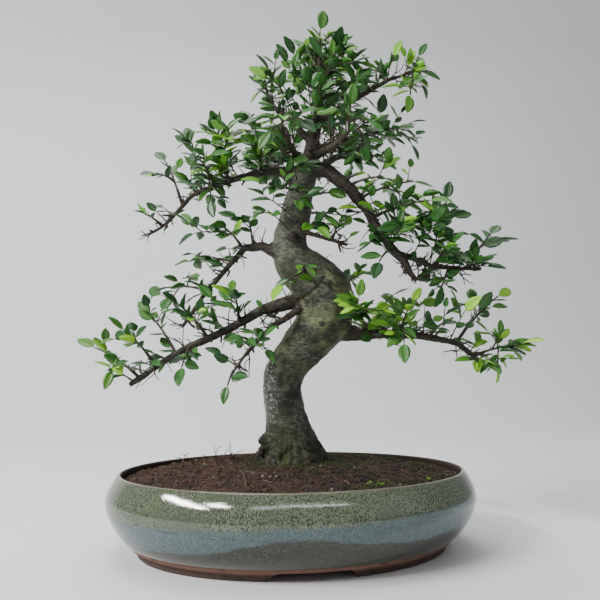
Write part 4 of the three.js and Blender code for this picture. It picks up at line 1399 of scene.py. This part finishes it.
# The hollows are painted near black: painted shade.
for place, reach in PAINTED_SHADE_HOLLOWS:
    away = node(bark, "ShaderNodeVectorMath", {0: bark_place, 1: place}, "Value", operation="DISTANCE")
    away = calc(bark, "MULTIPLY_ADD", bark_cloud, PAINTED_SHADE_EDGE, away)
    hollow_shade = step(bark, away, reach + PAINTED_SHADE_EDGE, reach)
    trunk_colour = tint(bark, trunk_colour, hollow_shade, 0.75, (0.012, 0.014, 0.007))
# The top of the trunk is painted paler: painted light.
painted_light_top = times(bark, step(bark, bark_z, 285, 330), step(bark, wrinkles, 0.34, 0.62))
trunk_colour = tint(bark, trunk_colour, painted_light_top, 0.4, (0.210, 0.205, 0.165))
# Near the soil the foot is tinted: moss green on the left, and on the right near black, as painted shade.
foot_moss_shade_mask = step(bark, calc(bark, "MULTIPLY_ADD", bark_cloud, -90.0, bark_z), 100, 60)
foot_moss_shade_mask = times(bark, foot_moss_shade_mask, step(bark, bark_grain, 0.35, 0.58))
foot_moss_tone = blend(bark, step(bark, wrinkles, 0.36, 0.62), (0.012, 0.018, 0.004), (0.060, 0.082, 0.012))
foot_moss_shade_colour = blend(bark, step(bark, bark_x, 22, -12), (0.022, 0.020, 0.014), foot_moss_tone)
trunk_colour = tint(bark, trunk_colour, foot_moss_shade_mask, 0.8, foot_moss_shade_colour)
twig_colour = blend(bark, bark_grain, (0.011, 0.007, 0.005), (0.058, 0.034, 0.022))
limb_colour = blend(bark, step(bark, wrinkles, 0.36, 0.66), (0.008, 0.006, 0.004), (0.058, 0.047, 0.031))
thin_colour = blend(bark, step(bark, bark_girth, 0.05, 0.13), twig_colour, limb_colour)
paint(bark, bark_shader, blend(bark, step(bark, bark_girth, 0.25, 0.42), thin_colour, trunk_colour))
feed(bark, bark_shader.inputs["Roughness"], calc(bark, "MULTIPLY_ADD", wet_and_glint_band, -0.4, 0.70))
bark_relief = calc(bark, "ADD", wrinkles, times(bark, bark_grain, 0.6))
raise_surface(bark, bark_shader, bark_relief, 0.9)

only(wood)
bpy.ops.object.shade_smooth()
branchlet_mesh.select_set(True)
bpy.ops.object.join()
wood.data.materials.clear()
wood.data.materials.append(bark)
settle(wood, "elm_wood", "bark", "trunk_and_limbs")
print("Wood,", triangle_count(wood), "triangles")

# %% [markdown]
# Moss climbs a little way up the trunk. Each blade stands on a face of the bark near the soil, along its
# normal.

# %% Moss on the foot
FOOT_MOSS_BLADES = 2600
MOSS_CLIMB = 42
MOSS_THRESHOLD = 0.62


def holds_moss(face):
    share = 1 - (face.center.z / MM - SOIL_MOUND_LEVEL) / MOSS_CLIMB
    return 0 < share < 1.3 and noise.noise(face.center / MM / 9) + 1.1 * share > MOSS_THRESHOLD


mossy_faces = [face for face in wood.data.polygons if holds_moss(face)]
draw = random.Random(17)
blades = []
for _ in range(FOOT_MOSS_BLADES):
    face = draw.choice(mossy_faces)
    stand = (face.normal + Vector([draw.gauss(0, 0.35) for _ in range(3)])).to_track_quat("Z", "Y")
    size = blade_size(draw.uniform(0.3, 0.7))
    place = face.center + Vector([draw.uniform(-0.8, 0.8) for _ in range(3)]) * MM - face.normal * 0.6 * MM
    blades.append((0, Matrix.Translation(place) @ stand.to_matrix().to_4x4() @ size, draw.random(), 0))
foot_moss = stamp("foot_moss", [moss_shape], blades)
foot_moss.data.materials.append(moss)
settle(foot_moss, "foot_moss", "soil")
print("Moss on the foot,", triangle_count(foot_moss), "triangles")

# %% [markdown]
# ## The leaves
#
# A leaf is modelled once from two grid primitives, one for each side of it. Their corners are moved to
# the outline: a short stalk, a blade that is widest just before the middle, four teeth along each edge
# and a pointed tip. The blade is folded a little along its midrib and droops towards the tip. The lower
# sheet is coarser and lies just under the upper one, but its edge is the same, so merging close corners
# closes the leaf. The grids' own maps stay with the faces, and the veins are drawn on them later.


# %% Leaf shapes
LEAF_ROWS = 10
BLADE_WIDTHS = [0.30, 0.40, 3.6, 5.8, 5.8, 6.7, 6.0, 5.6, 4.1, 2.6, 0.1]
TOOTH_FORWARD = 0.028
LEAF_THICKNESS = 0.32
UPPER_COLUMNS, UNDER_COLUMNS = 4, 2


def leaf_sheet(columns, drop, length, width, fold, droop, cup):
    bpy.ops.mesh.primitive_grid_add(x_subdivisions=LEAF_ROWS, y_subdivisions=columns, size=1)
    sheet = bpy.context.object
    for vertex in sheet.data.vertices:
        share, side = vertex.co.x + 0.5, vertex.co.y * 2
        row = round(share * LEAF_ROWS)
        is_rim = abs(side) > 0.9 or row in (0, LEAF_ROWS)
        forward = TOOTH_FORWARD if is_rim and row % 2 == 1 and 2 < row < LEAF_ROWS else 0
        y = side * BLADE_WIDTHS[row] / max(BLADE_WIDTHS) * width / 2
        z = fold * abs(y) - droop * share ** 2 - cup * math.sin(math.pi * share) * (1 - abs(side)) ** 1.5
        vertex.co = Vector(((share + forward) * length, y, z if is_rim else z - drop)) * MM
    return sheet


def leaf_shape(length, width, fold, droop, cup):
    under = leaf_sheet(UNDER_COLUMNS, LEAF_THICKNESS, length, width, fold, droop, cup)
    bpy.ops.object.mode_set(mode="EDIT")
    bpy.ops.mesh.select_all(action="SELECT")
    bpy.ops.mesh.flip_normals()
    bpy.ops.object.mode_set(mode="OBJECT")
    leaf = leaf_sheet(UPPER_COLUMNS, 0, length, width, fold, droop, cup)
    under.select_set(True)
    bpy.ops.object.join()
    bpy.ops.object.mode_set(mode="EDIT")
    bpy.ops.mesh.select_mode(type="VERT")
    bpy.ops.mesh.select_all(action="SELECT")
    bpy.ops.mesh.remove_doubles(threshold=0.01 * MM)
    bpy.ops.mesh.normals_make_consistent(inside=False)
    bpy.ops.object.mode_set(mode="OBJECT")
    return shape_arrays(leaf)


leaf_shapes = [
    leaf_shape(LEAF_LENGTH, 12.4, 0.22, 2.8, 0.7),
    leaf_shape(LEAF_LENGTH, 11.2, 0.38, 4.6, 0.4),
    leaf_shape(LEAF_LENGTH - 2, 12.8, 0.12, 1.8, 1.2),
    leaf_shape(LEAF_LENGTH + 1, 10.0, 0.50, 2.2, 0.2),
]
print("Leaves with", [len(shape[1]) for shape in leaf_shapes], "faces")

# %% [markdown]
# Elm leaves stand alternately, left and right of the stem, and the stem ends in one. A leaf looks for
# room before it stays: a rough copy of it is tested against the wood, against the leaves that are already
# there and against the box. If it would cut through something it tries another way of standing, and after
# eight tries it gives up. The leaves that stand are kept in a dictionary of cubes, so that only the near
# ones are tested.


# %% Leaf placing
LEAF_SPACING = 6.8
LEAF_TRIES = 8
LEAF_SIZES = (0.42, 1.2, 0.76)
LEAF_NEIGHBOUR = 26 * MM
ROUGH_LEAF = [(3, 0), (7, -5.5), (14, -5.5), (20, -2), (22, 0), (20, 2), (14, 5.5), (7, 5.5)]
rough_corners = [Vector((x, y, -0.004 * x * x)) * MM for x, y in ROUGH_LEAF]
rough_corners += [Vector((12, 0, -0.2)) * MM, Vector((12, 0, -1.4)) * MM]
LEAF_MIDDLE = len(ROUGH_LEAF)
rim = [(i, (i + 1) % LEAF_MIDDLE) for i in range(LEAF_MIDDLE)]
rough_faces = [(i, j, LEAF_MIDDLE) for i, j in rim] + [(j, i, LEAF_MIDDLE + 1) for i, j in rim]

bpy.context.view_layer.update()
wood_corners = [vertex.co for vertex in wood.data.vertices]
wood_tree = BVHTree.FromPolygons(wood_corners, [face.vertices[:] for face in wood.data.polygons])
standing = {}


def cell_of(point):
    return tuple(math.floor(value / LEAF_NEIGHBOUR) for value in point)


def find_room(matrix):
    """Marks the room that a leaf takes, if it is free, and says whether it was."""
    corners = [matrix @ corner for corner in rough_corners]
    if not all(is_inside(corner) for corner in corners):
        return False
    tree = BVHTree.FromPolygons(corners, rough_faces)
    if tree.overlap(wood_tree):
        return False
    x, y, z = cell_of(corners[LEAF_MIDDLE])
    for i in range(-1, 2):
        for j in range(-1, 2):
            for k in range(-1, 2):
                if any(tree.overlap(other) for other in standing.get((x + i, y + j, z + k), ())):
                    return False
    standing.setdefault((x, y, z), []).append(tree)
    return True


def leaf_matrix(root, direction, face, size):
    x = direction.normalized()
    z = (face - x * face.dot(x)).normalized()
    turn = Matrix((x, z.cross(x), z)).transposed().to_4x4()
    return Matrix.Translation(root) @ turn @ Matrix.Scale(size, 4)


def towards_light(place, draw):
    """The way a leaf there faces: up, outwards from the trunk, and a little towards the front."""
    outwards = place - tree_point((8, 8, 0))
    outwards.z = 0
    outwards.normalize()
    front = Vector((draw.uniform(-0.35, 0.35), -draw.uniform(0, 0.8), 0))
    return UP * draw.uniform(0.3, 1) + outwards * draw.uniform(0, 0.8) + front


def side_leaf(line, share, side, size, draw):
    place, heading = along(line, share)
    across = heading.cross(UP)
    if across.length < 0.3:
        across = Vector((1, 0.4, 0))
    across.normalize()
    lean = math.radians(draw.uniform(34, 72))
    direction = heading * math.cos(lean) + across * side * math.sin(lean) + UP * draw.uniform(-0.35, 0.55)
    return leaf_matrix(place - direction.normalized() * 0.4 * MM, direction, towards_light(place, draw), size)


def tip_leaf(line, size, draw):
    place, heading = along(line, 1)
    direction = heading + UP * draw.uniform(-0.3, 0.25)
    face = towards_light(place, draw)
    if heading.z > 0.75:
        face = Vector((draw.uniform(-0.4, 0.4), -1, 0.3))
    return leaf_matrix(place - heading * MM, direction, face, size)


# %% [markdown]
# One spray is its stem, its side stems and many short twiglets, all thin tubes, with leaves along every
# one of them. The limbs also bear leafy shoots right out of their bark, and each spray takes those from
# the stretch of limb round its root. `TRUNK_SHOOTS` adds shoots with a start and a tip of their own,
# where the real tree covers its wood. `BUSHINESS` says how thickly each spray of a limb grows. A
# least-squares fit gave most of its values, so that the leaves cover as much of each part of the picture
# as they do on the real tree.
#
# The leaves of `YOUNG` sprays are bright, most of all at their tips, and those of `FRESH` ones a little.
# The topmost shoot, `LONE_TIP`, ends in one leaf with nothing beside it. Each spray becomes one piece and
# stands for the plainer spray of the construction model on the same lines.


# %% Grow a spray
TWIGLET_SPACING = 8
TWIGLET_LENGTHS = (8, 20)
LIMB_SHOOT_SPACING = 6
LIMB_SHOOT_LENGTHS = (8, 26)
SHORTEST_STRETCH = 20
SIDE_SHOOT_ARCH = 0.06
STEM_RADII, SIDE_STEM_RADII, SHOOT_RADII, TWIGLET_RADII = (1.35, 0.8), (1.0, 0.65), (1.0, 0.5), (0.7, 0.45)
STEM_BARE, SIDE_STEM_BARE, SHOOT_BARE, TWIGLET_BARE = 0.38, 0.22, 0.3, 0.25
LAST_TWIGLET = 0.94
BUSHINESS = {
    "leader": [0.25, 2, 1.41, 0.52, 0.9], "crown_left": [0.25, 0.25, 0.48],
    "crown_right": [1.85, 0.38, 0.8], "crown_low_right": [0.25, 0.59], "crown_front_left": [0.39],
    "crown_front_right": [0.25], "upper_left": [0.86, 1.15, 0.92, 0.48, 0.25, 0.31],
    "middle_left": [0.34, 0.42, 0.35, 0.25], "lower_left": [0.42, 0.26, 0.47, 0.55, 0.25, 0.43],
    "front_left": [0.25, 0.25], "lower_right": [1.3, 0.25, 0.85, 0.32, 0.25, 1],
    "upper_right": [0.3, 0.3, 0.6, 1.2, 0.25], "upper_right_fork": [1.17, 2.22, 0.25],
    "right_stub": [0.25], "trunk_front": [0.25], "back_left": [0.25, 1.19], "back_right": [1.09, 0.25],
    "back_low": [0.25, 0.55],
}
FRESH = {"leader_2", "leader_3", "leader_4", "leader_5", "upper_left_4", "crown_left_3", "upper_left_1"}
LONE_TIP, LONE_TIP_CLEAR, LONE_TIP_DROP = "leader_5", box_high.z - 34 * MM, 12
lone_root, lone_middle, lone_end = sprays[LONE_TIP]["main"]
sprays[LONE_TIP]["main"] = (lone_root, lone_middle, lone_end - UP * LONE_TIP_DROP * MM)
TRUNK_SHOOTS = {
    "leader_1": [((20, 4, 418), (50, -40, 422)), ((22, 3, 428), (24, -44, 450)),
                 ((22, 3, 428), (44, -30, 440))],
    "upper_left_1": [((0, -6, 372), (-14, -38, 366)), ((4, -8, 384), (-4, -44, 400))],
    "middle_left_1": [((-6, -8, 330), (-26, -34, 344)), ((-8, -6, 350), (-30, -30, 360))],
    "crown_front_left_1": [((6, -8, 392), (8, -50, 386)), ((2, -10, 360), (6, -44, 352))],
    "upper_right_1": [((14, -6, 366), (40, -36, 362)), ((12, -6, 350), (34, -34, 336))],
    "right_stub_1": [((8, -8, 334), (26, -36, 326))],
    "crown_left_3": [((10, 2, 462), (-20, -6, 502)), ((14, 0, 470), (-6, -22, 508)),
                     ((4, 4, 456), (-24, -30, 496)), ((18, 0, 490), (2, -16, 520))],
    "crown_front_right_1": [((22, 0, 440), (16, -58, 470)), ((24, 0, 450), (38, -60, 484))],
    "upper_right_4": [((92, -34, 312), (108, -50, 338)), ((97, -34, 306), (122, -44, 332)),
                      ((97, -34, 306), (110, -62, 322))],
    "upper_right_fork_1": [((120, -36, 290), (138, -56, 326)), ((140, -30, 285), (150, -46, 326))],
    "lower_right_5": [((160, -26, 209), (172, -44, 238)), ((167, -24, 207), (188, -34, 240))],
    "trunk_front_1": [((12, -26, 282), (-10, -54, 264))],
}


def side_shoot(place, heading, lengths, draw):
    """A short side shoot, as a line of its own. Its callers test whether its tip stays in the object's box.
    """
    way = off_heading(heading, draw, (38, 76)) + UP * draw.uniform(0, 0.5)
    way.z = max(way.z, draw.uniform(-0.3, 0.3))
    way.normalize()
    reach = way * draw.uniform(*lengths) * MM
    return (place, place + reach * 0.5 + UP * reach.length * SIDE_SHOOT_ARCH, place + reach)


def limb_shoots(limb, number, bushiness, draw):
    """Shoots that grow straight from the stretch of a limb round one of its sprays."""
    shares = [share for share, _ in limb["shoots"]]
    first = (shares[number - 1] + shares[number]) / 2 if number else 0.2
    last = (shares[number] + shares[number + 1]) / 2 if number + 1 < len(shares) else 1
    length = (point_on(limb["path"], last) - point_on(limb["path"], first)).length / MM
    grown = []
    for _ in range(round(max(length, SHORTEST_STRETCH) / LIMB_SHOOT_SPACING * min(bushiness, 0.8))):
        share = draw.uniform(first, last)
        place = point_on(limb["path"], share)
        before, after = point_on(limb["path"], share - 0.05), point_on(limb["path"], min(1, share + 0.05))
        heading = (after - before).normalized()
        shoot = side_shoot(place, heading, LIMB_SHOOT_LENGTHS, draw)
        if is_inside(shoot[2]):
            grown.append(shoot)
    return grown


def stem_strand(line, start, radii, steps):
    strand = []
    for i in range(steps + 1):
        place, _ = along(line, start + (1 - start) * i / steps)
        strand.append((place, radii[0] + (radii[1] - radii[0]) * i / steps))
    return strand


def youth_of(name, share, draw):
    if name in YOUNG:
        return min(1, 0.85 * draw.random() ** 1.6 + 0.25 * share ** 2)
    if name in FRESH:
        return draw.uniform(0.1, 0.6) * (0.4 + 0.6 * share)
    return 0.9 if draw.random() < 0.06 * share else draw.uniform(0, 0.35)


def leaves_along(name, line, start, bushiness, draw):
    """The leaves of one stem, from its tip inwards: a list of copies for stamp."""
    spacing = LEAF_SPACING / min(1.3, max(0.45, 0.35 + bushiness)) * MM
    count = max(1, round(line_length(line) * (1 - start) / spacing))
    is_drawn = line_length(line) > LIMB_SHOOT_LENGTHS[1] * MM
    grown = []
    for i in reversed(range(count + 1)):
        share = start + (1 - start) * (i + 0.3) / (count + 0.3)
        if name == LONE_TIP and i < count and along(line, share)[0].z > LONE_TIP_CLEAR:
            continue
        for attempt in range(LEAF_TRIES):
            size = draw.triangular(*LEAF_SIZES) * (1 - 0.04 * attempt)
            if i == count and line is sprays[LONE_TIP]["main"]:
                matrix = leaf_matrix(line[2], Vector((0.22, 0, 1)), Vector((0.15, -1, 0.1)), 1.24)
            elif i == count:
                matrix = tip_leaf(line, 1.02 - 0.03 * attempt if is_drawn else size, draw)
            else:
                matrix = side_leaf(line, share, 1 if (i + attempt) % 2 else -1, size, draw)
            if find_room(matrix):
                youth = youth_of(name, share, draw)
                number = draw.choice((0, 0, 1, 2)) if youth < 0.5 else draw.choice((0, 1, 3))
                grown.append((number, matrix, draw.random(), youth))
                break
    return grown


def grow_spray(name, spray, bushiness, draw):
    strands = [stem_strand(spray["main"], WOOD_SHARE, STEM_RADII, 6)]
    strands += [stem_strand(line, 0, SIDE_STEM_RADII, 5) for line in spray["sides"]]
    stems = [(spray["main"], STEM_BARE)] + [(line, SIDE_STEM_BARE) for line in spray["sides"]]
    stems += [(line, SHOOT_BARE) for line in spray["extra"]]
    fine_strands = [stem_strand(line, 0, SHOOT_RADII, 3) for line in spray["extra"]]
    for line, start in list(stems):
        count = round(bushiness * line_length(line) * (1 - start) / (TWIGLET_SPACING * MM))
        for i in range(count):
            share = start + (LAST_TWIGLET - start) * ((i + draw.random()) / count) ** 0.7
            shoot = side_shoot(*along(line, share), TWIGLET_LENGTHS, draw)
            if is_inside(shoot[2]) and (name != LONE_TIP or shoot[2].z < LONE_TIP_CLEAR):
                stems.append((shoot, TWIGLET_BARE))
                fine_strands.append(stem_strand(shoot, 0, TWIGLET_RADII, 3))
    leaves = []
    for line, start in stems:
        leaves += leaves_along(name, line, start, bushiness, draw)
    foliage = stamp("leaves_" + name, leaf_shapes, leaves)
    foliage.data.materials.append(leaf_finish)
    stem_meshes = [tubes(name + "_stems", strands, 6), tubes(name + "_twiglets", fine_strands, 4)]
    only(foliage)
    for piece in stem_meshes:
        piece.data.materials.append(stem_finish)
        piece.select_set(True)
    bpy.ops.object.join()
    return foliage, len(leaves)


# %% [markdown]
# A mature leaf is glossy and dark, with a paler midrib and side veins. A young one is yellow green. The
# veins come from the leaf's map: the midrib is the line along the middle, and the side veins are bands
# that slant forwards to the teeth.

# %% Leaf and stem finishes
VEIN_PAIRS = 9.0
leaf_finish, leaf_shader = new_material("elm_leaf", Roughness=0.32, Specular_IOR_Level=0.42)
leaf_chart = node(leaf_finish, "ShaderNodeUVMap", {}, uv_map="UVMap")
leaf_u = axis_of(leaf_finish, leaf_chart, 0)
leaf_v = axis_of(leaf_finish, leaf_chart, 1)
from_midrib = calc(leaf_finish, "ABSOLUTE", calc(leaf_finish, "SUBTRACT", leaf_v, 0.5))
midrib = step(leaf_finish, from_midrib, 0.045, 0.012)
slant = calc(leaf_finish, "MULTIPLY_ADD", from_midrib, -0.55, leaf_u)
vein_wave = calc(leaf_finish, "PINGPONG", times(leaf_finish, slant, VEIN_PAIRS), 0.5)
veins = times(leaf_finish, step(leaf_finish, vein_wave, 0.09, 0.0), 0.6)
all_veins = calc(leaf_finish, "MAXIMUM", midrib, veins)

leaf_tone = attribute(leaf_finish, "tone")
leaf_youth = attribute(leaf_finish, "youth")
leaf_cloud = spots(leaf_finish, object_place(leaf_finish), 0.22, 3.0)
mature = blend(leaf_finish, leaf_tone, (0.006, 0.040, 0.010), (0.042, 0.175, 0.020))
mature = tint(leaf_finish, mature, leaf_cloud, 0.4, (0.012, 0.072, 0.020))
young = blend(leaf_finish, leaf_tone, (0.10, 0.40, 0.012), (0.30, 0.62, 0.030))
leaf_colour = blend(leaf_finish, step(leaf_finish, leaf_youth, 0.15, 0.9), mature, young)
vein_colour = blend(leaf_finish, leaf_youth, (0.060, 0.17, 0.035), (0.34, 0.55, 0.09))
paint(leaf_finish, leaf_shader, tint(leaf_finish, leaf_colour, all_veins, 0.55, vein_colour))
leaf_relief = calc(leaf_finish, "SUBTRACT", times(leaf_finish, leaf_cloud, 0.4), all_veins)
raise_surface(leaf_finish, leaf_shader, leaf_relief, 0.18)

stem_finish = mottled("green_stem", 0.6, (0.07, 3.0), (0.35, 0.65), (0.022, 0.015, 0.010),
                      (0.060, 0.062, 0.024), 0.8)
print("Leaf finish with", len(leaf_finish.node_tree.nodes), "nodes")

# %% All sprays
leaf_total = triangle_total = 0
seed = 0
for limb_name, limb in LIMBS.items():
    for number, bushiness in enumerate(BUSHINESS[limb_name]):
        seed += 1
        draw = random.Random(seed)
        name = f"{limb_name}_{number + 1}"
        spray = sprays[name]
        spray["extra"] = limb_shoots(limb, number, bushiness, draw)
        for start, tip in TRUNK_SHOOTS.get(name, ()):
            root, end = tree_point(start), tree_point(tip)
            middle = root.lerp(end, 0.5) + UP * SIDE_SHOOT_ARCH * (end - root).length
            spray["extra"].append((root, middle, end))
        foliage, count = grow_spray(name, spray, bushiness, draw)
        slot = "young_leaf" if name in YOUNG else "leaf"
        settle(foliage, "leaves_" + name, slot, "spray_" + name)
        leaf_total += count
        triangle_total += triangle_count(foliage)
print(leaf_total, "leaves,", triangle_total, "triangles in all the sprays")

# %% [markdown]
# Two small weeds have come up near the front rim. They are rosettes of the same leaf, a few millimetres
# long.

# %% Weeds
WEEDS = [(58, -103, 12), (122, -80, 7)]
WEED_FACE = UP + Vector((0, -0.6, 0))
draw = random.Random(3)
seedlings = []
for x, y, count in WEEDS:
    for _ in range(count):
        root = soil_point(x + draw.uniform(-6, 6), y + draw.uniform(-3, 3))
        way = Vector((draw.gauss(0, 1), draw.gauss(0, 1), draw.uniform(0.4, 1.6)))
        matrix = leaf_matrix(root, way, WEED_FACE, draw.uniform(0.10, 0.19))
        seedlings.append((draw.randrange(3), matrix, draw.random(), draw.uniform(0.7, 1)))
weeds = stamp("weeds", leaf_shapes, seedlings)
weeds.data.materials.append(leaf_finish)
settle(weeds, "weeds", "young_leaf")
print(len(seedlings), "leaves of weed")
